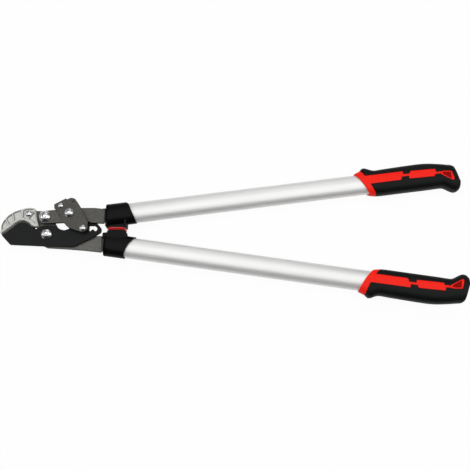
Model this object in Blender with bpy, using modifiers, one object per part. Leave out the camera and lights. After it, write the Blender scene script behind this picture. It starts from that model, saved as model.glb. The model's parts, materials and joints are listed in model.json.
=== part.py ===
"""Anvil lopper with a three-step ratchet, lying flat with its blade closed.

Metres, +Z up. The sizes are laid out from the blade's pivot: X runs along the handles, Y across
them and Z through the stack of plates, from the back face of the carrier plate. At the end the
whole lopper is moved so that the middle of its underside lies on the world origin.
"""

import math

import bmesh
import bpy
import numpy as np
from mathutils import Vector

# Clearances
GAP = 0.0003
CUT_GAP = 0.00035

# Plate thicknesses, from the back of the stack to its front
CARRIER_THICKNESS = 0.0045
BLADE_THICKNESS = 0.0040
LEVER_THICKNESS = 0.0050
LINK_THICKNESS = 0.0036

# Pivots and screws, as (x, y) from the blade's pivot
BLADE_PIVOT = (0.0, 0.0)
LEVER_PIVOT = (-0.0028, 0.0264)
LINK_PIVOT = (0.0353, 0.0315)
RATCHET_PIN = (0.0576, 0.0070)
STOP_SCREW = (0.0217, 0.0430)
SPRING_HOLE = (0.0409, 0.0497)
SPRING_FOOT = (0.0200, 0.0290)
ANVIL_SCREW = (-0.0290, 0.0316)
BLADE_STOP = (-0.0168, 0.0088)

# Shank radius of each screw, its head's radius and height, and its socket's radius
PIVOT_BOLT = (0.0050, 0.00875, 0.0052, 0.0034)
LINK_BOLT = (0.0040, 0.0070, 0.0042, 0.0029)
PIN_BOLT = (0.0030, 0.00525, 0.0031, 0.0023)
POST_SCREW = (0.0020, 0.0039, 0.0022, 0.0015)
CASTING_SCREW = (0.0025, 0.00475, 0.0026, 0.0018)
SOCKET_DEPTH = 0.0024

WASHER_THICKNESS = 0.0015
WASHER_RADIUS = 0.0100
THIN_NUT_HEIGHT = 0.0050
NUT_TO_SHANK = 1.85
SPACER_WALL = 0.0032
STOP_PIN_RADIUS = 0.0014
STOP_PIN_RISE = 0.0006
BUSH_WALL = 0.0012

# Ratchet slot
NOTCH_COUNT = 3
NOTCH_PITCH = 0.0102
TOOTH_HEIGHT = 0.0026
SLOT_DRIFT = 0.0015
SLOT_LIFT = 0.0024
SLOT_CORNER = 0.0034
# One tooth, as (distance along the slot, height above its floor, radius of the corner)
TOOTH = [
    (-0.0012, 0.0, 0.0014),
    (-0.0002, TOOTH_HEIGHT, 0.0008),
    (0.0010, TOOTH_HEIGHT, 0.0008),
    (0.0024, 0.0, 0.0014),
]

# Lever's end round its pivot, and the blade's grind
LEVER_END_RADIUS = 0.0112
LEVER_END_TURN = (128.0, 262.0)
BLADE_GRIND = 0.0024
BLADE_EDGE = 0.0006

# Handles, as the point where each axis starts and its slope in degrees
UPPER_START = (0.0934, 0.0290)
UPPER_SLOPE = 7.35
LOWER_START = (0.0934, -0.0171)
LOWER_SLOPE = -8.13
TUBE_HALF_DEPTH = 0.0164
TUBE_HALF_THICKNESS = 0.0110
TUBE_WALL = 0.0016
TUBE_FIRST = 0.0045
TUBE_LAST = 0.5120
TANG_LENGTH = 0.0620
TANG_HALF_WIDTH = 0.0112
TANG_CORNER = 0.0030
NECK_LENGTH = 0.0015
JOGGLE_START = 0.0805
JOGGLE_END = 0.0860
RIVET_RADIUS = 0.0030
RIVETS_AT = (0.0180, 0.0330)

# Collars
COLLAR_WALL = 0.0018
COLLAR_SIDE_WALL = 0.0024
COLLAR_FIRST = -0.0040
COLLAR_LAST_OUTER = 0.0330
COLLAR_LAST_INNER = 0.0440
COLLAR_ROUNDING = 0.0085
COLLAR_CHAMFER = 0.0012
COLLAR_STATIONS = (0.0, 0.06, 0.5, 0.94, 1.0)
COLLAR_SWEEP = 1.6
BUMPER_RADIUS = 0.0138
BUMPER_MIDDLE = 0.1110
BUMPER_TOP = 0.0100
BUMPER_BOTTOM = 0.0026
BUMPER_STEM_RADIUS = 0.0045
BUMPER_STEM_LENGTH = 0.0026
BUMPER_RIM = 0.0012
# Bumper's block and the pad that it meets, from the bumper's middle
BLOCK_LEFT = 0.0160
BLOCK_RIGHT = 0.0152
BLOCK_RISE = 0.0130
BLOCK_HALF_THICKNESS = 0.0112
BLOCK_RIB = 0.0034
BLOCK_CORNER = 0.0010
RIB_RECESS_HEIGHT = 0.0085
RIB_RECESS_DEPTH = 0.0016
PAD_LEFT = 0.0138
PAD_RIGHT = 0.0148
PAD_FLARE = 0.0020
PAD_CORNER = 0.0012
PAD_DROP = 0.0036
PAD_ROOT = 0.0110

# Grips, measured along the handle from the start of the lip
GRIP_FIRST = 0.3973
GRIP_HALF_THICKNESS = 0.0150
GRIP_ROUNDING = 0.0112
SLEEVE_WALL = 0.0022
LIP_WIDTH = 0.0110
LIP_SLANT = 0.53
LIP_FADE = 0.050
INLAY_SINK = 0.0003
LEAST_GRIP_CORNER = 0.0040

# Return spring of the link
SPRING_WIRE = 0.0005
SPRING_RADIUS = 0.0084
SPRING_PITCH = 0.00142
SPRING_TURNS = 2
SPRING_MARGIN = 0.00014
SPRING_TAIL = 0.0008
SPRING_STEPS = 24

ROUND = 18
SMALL_ROUND = 16
SPRING_HOLE_ROUND = 12
ARC_STEP = math.radians(22.5)
# How far a cutter runs past the face that it opens
OVERRUN = 0.001
MERGE = 0.000005

CARRIER_FRONT = CARRIER_THICKNESS
BLADE_BACK = CARRIER_FRONT + GAP
BLADE_FRONT = BLADE_BACK + BLADE_THICKNESS
LEVER_BACK = BLADE_FRONT + GAP
LEVER_FRONT = LEVER_BACK + LEVER_THICKNESS
LINK_FRONT_BACK = LEVER_FRONT + GAP
LINK_FRONT_FACE = LINK_FRONT_BACK + LINK_THICKNESS
LINK_BACK_FRONT = CARRIER_FRONT
LINK_BACK_BACK = LINK_BACK_FRONT - LINK_THICKNESS
MIDDLE_PLANE = BLADE_BACK + BLADE_THICKNESS / 2
ANVIL_FRONT = 2 * MIDDLE_PLANE

# Anvil's working face and back, from the tip to the heel
ANVIL_FACE = [
    (-0.0704, -0.0006),
    (-0.0563, 0.0105),
    (-0.0501, 0.0161),
    (-0.0446, 0.0197),
    (-0.0392, 0.0210),
    (-0.0345, 0.0206),
    (-0.0282, 0.0177),
    (-0.0236, 0.0140),
    (-0.0197, 0.0113),
]
ANVIL_SPINE = [
    (-0.0706, 0.0020),
    (-0.0693, 0.0129),
    (-0.0657, 0.0209),
    (-0.0594, 0.0276),
    (-0.0501, 0.0337),
    (-0.0376, 0.0385),
    (-0.0298, 0.0404),
    (-0.0181, 0.0396),
]
ANVIL_HEEL = [
    (-0.0165, 0.0353, 0.0),
    (-0.0122, 0.0129, 0.0),
    (-0.0126, 0.0110, 0.0008),
    (-0.0173, 0.0110, 0.0004),
]
CAST_EDGE = 0.0008
POCKET_BORDER = 0.0030
POCKET_DEPTH = 0.0014
POCKETS = [(0.10, 0.27), (0.31, 0.49), (0.53, 0.73)]
SCREW_POCKET = [
    (-0.0335, 0.0245, 0.0010),
    (-0.0265, 0.0215, 0.0010),
    (-0.0188, 0.0325, 0.0010),
    (-0.0200, 0.0372, 0.0010),
    (-0.0335, 0.0368, 0.0010),
]
CORNER_POCKET = [
    (-0.0242, 0.0185, 0.0010),
    (-0.0162, 0.0140, 0.0010),
    (-0.0174, 0.0300, 0.0010),
]

# Outline corners as (x, y, radius of the corner)
CARRIER_RIGHT = [
    (-0.0155, 0.0381, 0.0010),
    (-0.0095, 0.0362, 0.0),
    (0.0060, 0.0352, 0.0060),
    (0.0145, 0.0290, 0.0080),
    (0.0145, 0.0110, 0.0030),
    (0.0170, 0.0040, 0.0050),
    (0.0250, -0.0010, 0.0100),
    (0.0400, -0.0030, 0.0200),
    (0.0850, -0.0032, 0.0),
]
CARRIER_LEFT = [
    (0.0850, -0.0284, 0.0),
    (0.0588, -0.0255, 0.0),
    (0.0354, -0.0236, 0.0),
    (0.0012, -0.0215, 0.0050),
    (-0.0100, -0.0160, 0.0080),
    (-0.0185, -0.0050, 0.0100),
    (-0.0215, 0.0070, 0.0040),
    (-0.0200, 0.0130, 0.0030),
]
CARRIER_ARM = [
    (-0.0300, 0.0238, 0.0030),
    (-0.0360, 0.0266, 0.0040),
    (-0.0360, 0.0362, 0.0040),
    (-0.0290, 0.0376, 0.0060),
]
BLADE_HEEL = [
    (-0.0190, 0.0092, 0.0),
    (-0.0184, 0.0076, 0.0010),
    (-0.0168, 0.0069, 0.0010),
    (-0.0150, 0.0078, 0.0008),
    (-0.0132, 0.0104, 0.0010),
    (-0.0080, 0.0128, 0.0060),
    (0.0092, 0.0128, 0.0050),
    (0.0150, 0.0112, 0.0020),
    (0.0184, 0.0052, 0.0060),
    (0.0262, 0.0030, 0.0090),
    (0.0349, 0.0060, 0.0060),
    (0.0440, 0.0100, 0.0080),
    (0.0500, 0.0168, 0.0060),
    (0.0765, 0.0168, 0.0060),
    (0.0852, 0.0088, 0.0050),
    (0.0850, 0.0022, 0.0040),
    (0.0704, -0.0070, 0.0),
    (0.0549, -0.0150, 0.0),
    (0.0455, -0.0205, 0.0080),
    (-0.0064, -0.0196, 0.0),
    (-0.0555, -0.0174, 0.0030),
]
LEVER_TOP = [
    (0.0900, 0.0376, 0.0),
    (0.0727, 0.0396, 0.0200),
    (0.0543, 0.0385, 0.0),
    (0.0133, 0.0361, 0.0),
]
LEVER_BOTTOM = [
    (0.0279, 0.0168, 0.0060),
    (0.0400, 0.0205, 0.0080),
    (0.0590, 0.0215, 0.0080),
    (0.0700, 0.0165, 0.0080),
    (0.0900, 0.0156, 0.0),
]
LINK_OUTLINE = [
    (0.0138, 0.0450, 0.0016),
    (0.0142, 0.0378, 0.0015),
    (0.0158, 0.0358, 0.0),
    (0.0273, 0.0151, 0.0060),
    (0.0363, 0.0079, 0.0080),
    (0.0479, 0.0021, 0.0040),
    (0.0585, -0.0030, 0.0070),
    (0.0651, 0.0030, 0.0060),
    (0.0651, 0.0190, 0.0080),
    (0.0543, 0.0388, 0.0),
    (0.0440, 0.0530, 0.0050),
    (0.0380, 0.0545, 0.0040),
    (0.0322, 0.0518, 0.0),
    (0.0300, 0.0533, 0.0010),
]

# Grip's outer and inner edge, as (distance from the lip, distance from the handle's axis)
GRIP_OUTER = [
    (0.000, 0.0180),
    (0.011, 0.0218),
    (0.019, 0.0258),
    (0.031, 0.0202),
    (0.048, 0.0204),
    (0.085, 0.0214),
    (0.110, 0.0209),
    (0.130, 0.0180),
    (0.148, 0.0141),
    (0.157, 0.0108),
    (0.162, 0.0050),
    (0.1645, -0.0040),
]
GRIP_INNER = [
    (0.000, -0.0188),
    (0.011, -0.0208),
    (0.030, -0.0213),
    (0.070, -0.0213),
    (0.110, -0.0213),
    (0.126, -0.0216),
    (0.136, -0.0236),
    (0.145, -0.0290),
    (0.152, -0.0312),
    (0.158, -0.0290),
    (0.162, -0.0250),
    (0.1645, -0.0190),
]
GRIP_STATIONS = [
    0.0, 0.0055, 0.011, 0.019, 0.025, 0.031, 0.048, 0.075, 0.105,
    0.122, 0.132, 0.140, 0.147, 0.153, 0.158, 0.162, 0.1645,
]
CORE_STATIONS = [0.031, 0.048, 0.090, 0.122, 0.134, 0.145, 0.153]
# Grip's thickness, as (distance from the lip, share of its full thickness)
GRIP_THICKNESS = [
    (0.0, 0.90),
    (0.011, 0.95),
    (0.019, 1.0),
    (0.150, 1.0),
    (0.158, 0.95),
    (0.162, 0.85),
    (0.1645, 0.68),
]
# Red inlay of the grip, as (distance from the lip, distance from the axis)
INLAY = [
    (0.0125, 0.0070),
    (0.0760, 0.0070),
    (0.0760, 0.0026),
    (0.0870, 0.0022),
    (0.0870, 0.0042),
    (0.1290, 0.0026),
    (0.1290, -0.0016),
    (0.1400, -0.0030),
    (0.1427, -0.0016),
    (0.1552, -0.0035),
    (0.1562, -0.0164),
    (0.1529, -0.0180),
    (0.1395, -0.0085),
    (0.1290, -0.0062),
    (0.1290, -0.0080),
    (0.0870, -0.0070),
    (0.0870, -0.0022),
    (0.0760, -0.0022),
    (0.0760, -0.0070),
    (0.0125, -0.0070),
]
INLAY_RECESS = [
    (0.1436, -0.0042),
    (0.1530, -0.0056),
    (0.1538, -0.0146),
    (0.1428, -0.0085),
]
RECESS_DEPTH = 0.0010


def clear_scene():
    for old in list(bpy.data.objects):
        bpy.data.objects.remove(old, do_unlink=True)


def new_collection(name):
    made = bpy.data.collections.new(name)
    bpy.context.scene.collection.children.link(made)
    return made


def new_material(name, colour, roughness, metallic):
    made = bpy.data.materials.new(name)
    made.use_nodes = True
    shader = made.node_tree.nodes["Principled BSDF"]
    shader.inputs["Base Color"].default_value = (*colour, 1.0)
    shader.inputs["Roughness"].default_value = roughness
    shader.inputs["Metallic"].default_value = metallic
    made.diffuse_color = (*colour, 1.0)
    return made


def new_empty(name, parent, place=(0.0, 0.0, 0.0), turn=0.0):
    made = bpy.data.objects.new(name, None)
    made.location = place
    made.rotation_euler = (0.0, 0.0, turn)
    made.parent = parent
    made.empty_display_size = 0.02
    PARTS.objects.link(made)
    return made


def as_piece(name, mesh, frame, paint):
    """An object for one piece, laid out in its frame's own coordinates."""
    piece = bpy.data.objects.new(name, mesh)
    piece.parent = frame
    mesh.materials.append(paint)
    mesh.shade_smooth()
    mesh.set_sharp_from_angle(angle=math.radians(35))
    PARTS.objects.link(piece)
    return piece


def as_cutter(name, mesh, frame):
    cutter = bpy.data.objects.new(name, mesh)
    cutter.parent = frame
    cutter.hide_render = True
    cutter.display_type = "WIRE"
    CUTTERS.objects.link(cutter)
    return cutter


def combine(piece, other, operation):
    change = piece.modifiers.new(f"{operation.lower()} {other.name}", "BOOLEAN")
    change.operation = operation
    change.object = other
    change.solver = "EXACT"


def cut(piece, *cutters):
    for cutter in cutters:
        combine(piece, cutter, "DIFFERENCE")


def circle(middle, radius, count=ROUND):
    turns = [2 * math.pi * step / count for step in range(count)]
    return [
        (middle[0] + radius * math.cos(turn), middle[1] + radius * math.sin(turn))
        for turn in turns
    ]


def arc(middle, radius, first, last):
    """Points on a circle between two angles in degrees."""
    first, last = math.radians(first), math.radians(last)
    count = max(2, math.ceil(abs(last - first) / ARC_STEP))
    turns = [first + (last - first) * step / count for step in range(count + 1)]
    return [
        (middle[0] + radius * math.cos(turn), middle[1] + radius * math.sin(turn), 0.0)
        for turn in turns
    ]


def rounded(corners):
    """A closed outline through the corners, each turned by an arc of its own radius."""
    loop = []
    for index, (x, y, radius) in enumerate(corners):
        here = Vector((x, y))
        before = Vector(corners[index - 1][:2]) - here
        after = Vector(corners[(index + 1) % len(corners)][:2]) - here
        if radius == 0.0:
            loop.append((x, y))
            continue
        half = before.angle(after) / 2
        reach = min(radius / math.tan(half), 0.48 * before.length, 0.48 * after.length)
        radius = reach * math.tan(half)
        inward = (before.normalized() + after.normalized()).normalized()
        middle = here + inward * radius / math.sin(half)
        start = here + before.normalized() * reach - middle
        end = here + after.normalized() * reach - middle
        turn = start.angle_signed(end)
        count = max(1, math.ceil(abs(turn) / ARC_STEP))
        for step in range(count + 1):
            angle = -turn * step / count
            spoke = Vector((
                start.x * math.cos(angle) - start.y * math.sin(angle),
                start.x * math.sin(angle) + start.y * math.cos(angle),
            ))
            loop.append(tuple(middle + spoke))
    return loop


def smooth(points, steps):
    """A curve through the points, with the given number of steps between neighbours."""
    knots = [Vector(point) for point in points]
    knots = [2 * knots[0] - knots[1], *knots, 2 * knots[-1] - knots[-2]]
    curve = []
    for a, b, c, d in zip(knots, knots[1:], knots[2:], knots[3:]):
        for step in range(steps):
            t = step / steps
            curve.append(
                0.5 * (2 * b + (c - a) * t + (2 * a - 5 * b + 4 * c - d) * t**2
                       + (3 * b - a - 3 * c + d) * t**3)
            )
    return [tuple(point) for point in [*curve, knots[-2]]]


def edge_at(edge, distance):
    """The height of a smooth edge at a distance along the handle."""
    points = np.array(smooth(edge, 6))
    return float(np.interp(distance, points[:, 0], points[:, 1]))


def outward(loop):
    """The outward normal at each point of a closed outline that runs counter-clockwise."""
    normals = []
    for index, here in enumerate(loop):
        before, after = loop[index - 1], loop[(index + 1) % len(loop)]
        along = Vector((after[0] - before[0], after[1] - before[1])).normalized()
        normals.append(Vector((along.y, -along.x)))
    return normals


def counter_clockwise(loop):
    area = sum(a[0] * b[1] - b[0] * a[1] for a, b in zip(loop, [*loop[1:], loop[0]]))
    return loop if area > 0 else loop[::-1]


def offset(loop, distance):
    """The outline moved outward, with its corners kept square."""
    loop = counter_clockwise(loop)
    moved = []
    for index, here in enumerate(loop):
        before = Vector(here) - Vector(loop[index - 1])
        after = Vector(loop[(index + 1) % len(loop)]) - Vector(here)
        first = Vector((before.y, -before.x)).normalized()
        second = Vector((after.y, -after.x)).normalized()
        mitre = first + second
        moved.append(tuple(Vector(here) + mitre * distance * 2 / max(mitre.length_squared, 0.8)))
    return moved


def slab(name, loops, back, front):
    """A flat mesh between two heights: the first loop is its outline, the others are holes."""
    curve = bpy.data.curves.new(name, "CURVE")
    curve.dimensions = "2D"
    curve.fill_mode = "BOTH"
    curve.extrude = (front - back) / 2
    for loop in loops:
        line = curve.splines.new("POLY")
        line.points.add(len(loop) - 1)
        for point, (x, y) in zip(line.points, loop):
            point.co = (x, y, 0.0, 1.0)
        line.use_cyclic_u = True
    drawn = bpy.data.objects.new(name, curve)
    CUTTERS.objects.link(drawn)
    bpy.context.view_layer.update()
    graph = bpy.context.evaluated_depsgraph_get()
    mesh = bpy.data.meshes.new_from_object(drawn.evaluated_get(graph))
    bpy.data.objects.remove(drawn)
    shape = bmesh.new()
    shape.from_mesh(mesh)
    bmesh.ops.remove_doubles(shape, verts=shape.verts, dist=MERGE)
    bmesh.ops.translate(shape, verts=shape.verts, vec=(0.0, 0.0, (front + back) / 2))
    bmesh.ops.recalc_face_normals(shape, faces=shape.faces)
    shape.to_mesh(mesh)
    shape.free()
    return mesh


def loft(name, rings, hollow=False):
    """A mesh through rings with equal point counts, capped unless the last ring meets the first."""
    shape = bmesh.new()
    rows = [[shape.verts.new(point) for point in ring] for ring in rings]
    pairs = list(zip(rows, rows[1:]))
    if hollow:
        pairs.append((rows[-1], rows[0]))
    else:
        shape.faces.new(rows[0])
        shape.faces.new(rows[-1])
    for row, above in pairs:
        for index in range(len(row)):
            shape.faces.new((row[index - 1], row[index], above[index], above[index - 1]))
    bmesh.ops.recalc_face_normals(shape, faces=shape.faces)
    mesh = bpy.data.meshes.new(name)
    shape.to_mesh(mesh)
    shape.free()
    return mesh


def edged_slab(name, loop, inset, levels):
    """A slab whose outline is full between the middle two heights and drawn in at the outer two."""
    back, low, high, front = levels
    sections = [(back, inset), (low, loop), (high, loop), (front, inset)]
    return loft(name, [[(x, y, height) for x, y in points] for height, points in sections])


def turned(name, profile):
    """A mesh for a Screw modifier: (radius, height) down its outer side."""
    mesh = bpy.data.meshes.new(name)
    points = [(radius, 0.0, height) for radius, height in profile]
    mesh.from_pydata(points, [(step, step + 1) for step in range(len(points) - 1)], [])
    return mesh


def spin(piece, steps=ROUND, axis="Z"):
    turn = piece.modifiers.new("turn", "SCREW")
    turn.axis = axis
    turn.steps = steps
    turn.render_steps = steps
    turn.use_merge_vertices = True
    turn.merge_threshold = 2 * MERGE
    turn.use_smooth_shade = True


def bolt(name, frame, place, sizes, under_head, end):
    """A button head socket screw whose head sits on a height and whose shank ends at another."""
    shank, head, height, socket = sizes
    top = under_head + height
    profile = [
        (0.0, top),
        (0.50 * head, top - 0.06 * height),
        (0.80 * head, top - 0.32 * height),
        (head, top - 0.78 * height),
        (head, under_head),
        (shank, under_head),
        (shank, end),
        (0.0, end),
    ]
    screw = as_piece(name, turned(name, profile), frame, CHROME)
    screw.location = (*place, 0.0)
    spin(screw)
    depth = min(SOCKET_DEPTH, 0.7 * height)
    key = slab(f"{name} socket", [circle((0.0, 0.0), socket, 6)], top - depth, top + GAP)
    hole = as_cutter(f"{name} socket", key, frame)
    hole.location = screw.location
    cut(screw, hole)


def ring(name, frame, place, inner, outer, back, front, paint, count=ROUND):
    """A washer, spacer, bush or, with a count of 6, a nut."""
    mesh = slab(name, [circle(place, outer, count), circle(place, inner)], back, front)
    as_piece(name, mesh, frame, paint)


def nut(name, frame, place, sizes, front):
    shank = sizes[0]
    back = front - THIN_NUT_HEIGHT
    ring(name, frame, place, shank + GAP, NUT_TO_SHANK * shank, back, front, STEEL, 6)


def joggle(mesh, rise):
    """Steps the plate from its own plane to the handle's, between two bend lines across X."""
    shape = bmesh.new()
    shape.from_mesh(mesh)
    for x in (JOGGLE_START, JOGGLE_END):
        everything = [*shape.verts, *shape.edges, *shape.faces]
        bmesh.ops.bisect_plane(
            shape, geom=everything, dist=2 * MERGE, plane_co=(x, 0.0, 0.0), plane_no=(1.0, 0.0, 0.0)
        )
    for vert in shape.verts:
        share = (vert.co.x - JOGGLE_START) / (JOGGLE_END - JOGGLE_START)
        vert.co.z += rise * min(max(share, 0.0), 1.0)
    shape.to_mesh(mesh)
    shape.free()


def on_handle(start, slope, along, out):
    """The (x, y) of a point along a handle's axis and out from it."""
    turn = math.radians(slope)
    return (
        start[0] + along * math.cos(turn) - out * math.sin(turn),
        start[1] + along * math.sin(turn) + out * math.cos(turn),
    )


def tang(start, slope):
    """Corners of the plate's tang, from the handle's lower side to its upper side."""
    half = TANG_HALF_WIDTH
    neck = COLLAR_FIRST - NECK_LENGTH
    return [
        (*on_handle(start, slope, neck, -half), 0.0),
        (*on_handle(start, slope, TANG_LENGTH, -half), TANG_CORNER),
        (*on_handle(start, slope, TANG_LENGTH, half), TANG_CORNER),
        (*on_handle(start, slope, neck, half), 0.0),
    ]


def rivet_holes(start, slope):
    radius = RIVET_RADIUS + GAP
    return [circle(on_handle(start, slope, at, 0.0), radius, SMALL_ROUND) for at in RIVETS_AT]


def carrier_outline():
    lower_tang = tang(LOWER_START, LOWER_SLOPE)[::-1]
    return rounded([*CARRIER_RIGHT, *lower_tang, *CARRIER_LEFT, *CARRIER_ARM])


def make_carrier(frame):
    holes = [
        circle(BLADE_PIVOT, PIVOT_BOLT[0] + GAP),
        circle(LEVER_PIVOT, PIVOT_BOLT[0] + GAP),
        circle(ANVIL_SCREW, CASTING_SCREW[0] + GAP, SMALL_ROUND),
        circle(BLADE_STOP, STOP_PIN_RADIUS + GAP, SMALL_ROUND),
        *rivet_holes(LOWER_START, LOWER_SLOPE),
    ]
    mesh = slab("carrier_plate", [carrier_outline(), *holes], 0.0, CARRIER_FRONT)
    joggle(mesh, MIDDLE_PLANE - CARRIER_THICKNESS / 2)
    as_piece("carrier_plate", mesh, frame, STEEL_PLATE)


def anvil_pocket(first, last, border):
    """A pocket between the anvil's face and spine, over a share of its length."""
    face = np.array(smooth(ANVIL_FACE, 6))
    spine = np.array(smooth(ANVIL_SPINE, 6))

    def along(curve, share):
        steps = np.linalg.norm(np.diff(curve, axis=0), axis=1)
        lengths = np.concatenate([[0.0], np.cumsum(steps)])
        return np.array([np.interp(share * lengths[-1], lengths, curve[:, axis]) for axis in (0, 1)])

    shares = np.linspace(first, last, 4)
    inner, outer = [], []
    for share in shares:
        low, high = along(face, share), along(spine, share)
        inward = (high - low) / np.linalg.norm(high - low)
        inner.append(tuple(low + inward * border))
        outer.append(tuple(high - inward * border))
    return [*inner, *outer[::-1]]


def make_anvil(frame):
    face = smooth(ANVIL_FACE, 3)
    spine = smooth(ANVIL_SPINE, 3)
    outline = [*spine, *rounded(ANVIL_HEEL), *face[::-1]]
    levels = (0.0, CAST_EDGE, ANVIL_FRONT - CAST_EDGE, ANVIL_FRONT)
    outline = counter_clockwise(outline)
    mesh = edged_slab("anvil", outline, offset(outline, -CAST_EDGE), levels)
    anvil = as_piece("anvil", mesh, frame, CAST)
    arm = slab("arm seat", [offset(carrier_outline(), GAP)], -OVERRUN, BLADE_BACK)
    cut(anvil, as_cutter("arm seat", arm, frame))
    recesses = {"screw pocket": rounded(SCREW_POCKET), "corner pocket": rounded(CORNER_POCKET)}
    for index, (first, last) in enumerate(POCKETS):
        recesses[f"anvil pocket {index}"] = anvil_pocket(first, last, POCKET_BORDER)
    recesses["spot face"] = circle(ANVIL_SCREW, CASTING_SCREW[1] + 2 * GAP)
    for name, loop in recesses.items():
        shape = slab(name, [loop], ANVIL_FRONT - POCKET_DEPTH, ANVIL_FRONT + OVERRUN)
        cut(anvil, as_cutter(name, shape, frame))
    hole = circle(ANVIL_SCREW, CASTING_SCREW[0] + GAP, SMALL_ROUND)
    bore = slab("anvil bore", [hole], -OVERRUN, ANVIL_FRONT)
    cut(anvil, as_cutter("anvil bore", bore, frame))


def blade_outline():
    """The blade's outline from its tip, and how many of its first points lie on the cutting edge."""
    face = smooth(ANVIL_FACE, 3)
    edge = []
    for index, here in enumerate(face):
        before, after = face[max(index - 1, 0)], face[min(index + 1, len(face) - 1)]
        along = Vector((after[0] - before[0], after[1] - before[1])).normalized()
        edge.append((here[0] + along.y * CUT_GAP, here[1] - along.x * CUT_GAP))
    return [*edge, *rounded(BLADE_HEEL)], len(edge)


def ratchet_slot():
    """Notches at a steady pitch along the lower side of the slot, and a plain upper side."""
    x, y = RATCHET_PIN
    reach = PIN_BOLT[0] + GAP
    floor = y - reach - GAP / 2
    left = x - reach - SLOT_DRIFT
    top = y + reach + SLOT_LIFT
    right = x + (NOTCH_COUNT - 1) * NOTCH_PITCH + reach
    lower = [(left, floor, SLOT_CORNER)]
    for step in range(1, NOTCH_COUNT):
        middle = x + (step - 0.5) * NOTCH_PITCH
        lower += [(middle + along, floor + height, radius) for along, height, radius in TOOTH]
    upper = [(right, floor, SLOT_CORNER), (right, top, SLOT_CORNER), (left, top, SLOT_CORNER)]
    return rounded([*lower, *upper])


def make_blade(frame):
    outline, edge_count = blade_outline()
    loop = counter_clockwise(outline)
    on_edge = set(outline[:edge_count])
    normals = outward(loop)
    inset = []
    for here, normal in zip(loop, normals):
        depth = BLADE_GRIND if here in on_edge else 0.0
        inset.append((here[0] - normal.x * depth, here[1] - normal.y * depth))
    levels = (BLADE_BACK, MIDDLE_PLANE - BLADE_EDGE / 2, MIDDLE_PLANE + BLADE_EDGE / 2, BLADE_FRONT)
    blade = as_piece("blade", edged_slab("blade", loop, inset, levels), frame, BLACK_STEEL)
    hole = circle(BLADE_PIVOT, PIVOT_BOLT[0] + BUSH_WALL + 2 * GAP)
    for name, opening in (("ratchet slot", ratchet_slot()), ("blade bore", hole)):
        shape = slab(name, [opening], BLADE_BACK - OVERRUN, BLADE_FRONT + OVERRUN)
        cut(blade, as_cutter(name, shape, frame))


def make_lever_plate(frame):
    end = arc(LEVER_PIVOT, LEVER_END_RADIUS, *LEVER_END_TURN)
    outline = rounded([*LEVER_TOP, *end, *LEVER_BOTTOM, *tang(UPPER_START, UPPER_SLOPE)])
    holes = [
        circle(LEVER_PIVOT, PIVOT_BOLT[0] + BUSH_WALL + 2 * GAP),
        circle(LINK_PIVOT, LINK_BOLT[0] + GAP),
        circle(SPRING_FOOT, SPRING_WIRE + 2 * GAP, SPRING_HOLE_ROUND),
        *rivet_holes(UPPER_START, UPPER_SLOPE),
    ]
    mesh = slab("lever_plate", [outline, *holes], LEVER_BACK, LEVER_FRONT)
    joggle(mesh, MIDDLE_PLANE - LEVER_BACK - LEVER_THICKNESS / 2)
    as_piece("lever_plate", mesh, frame, STEEL_PLATE)


def make_link_plate(name, frame, back, front):
    holes = [
        circle(LINK_PIVOT, LINK_BOLT[0] + GAP),
        circle(RATCHET_PIN, PIN_BOLT[0] + GAP),
        circle(STOP_SCREW, POST_SCREW[0] + GAP, SMALL_ROUND),
        circle(SPRING_HOLE, SPRING_WIRE + 2 * GAP, SPRING_HOLE_ROUND),
    ]
    mesh = slab(name, [rounded(LINK_OUTLINE), *holes], back, front)
    as_piece(name, mesh, frame, STEEL_PLATE)


def least_gap(route, apart=12):
    """The least distance between points of a route that lie at least some steps apart."""
    points = np.array(route)
    least = math.inf
    for index in range(len(points) - apart):
        least = min(least, np.linalg.norm(points[index + apart:] - points[index], axis=1).min())
    return least


def towards(here, there, distance):
    """The (x, y) at a distance from one point on the way to another."""
    here = Vector(here)
    return here + (Vector(there[:2]) - here).normalized() * distance


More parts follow.
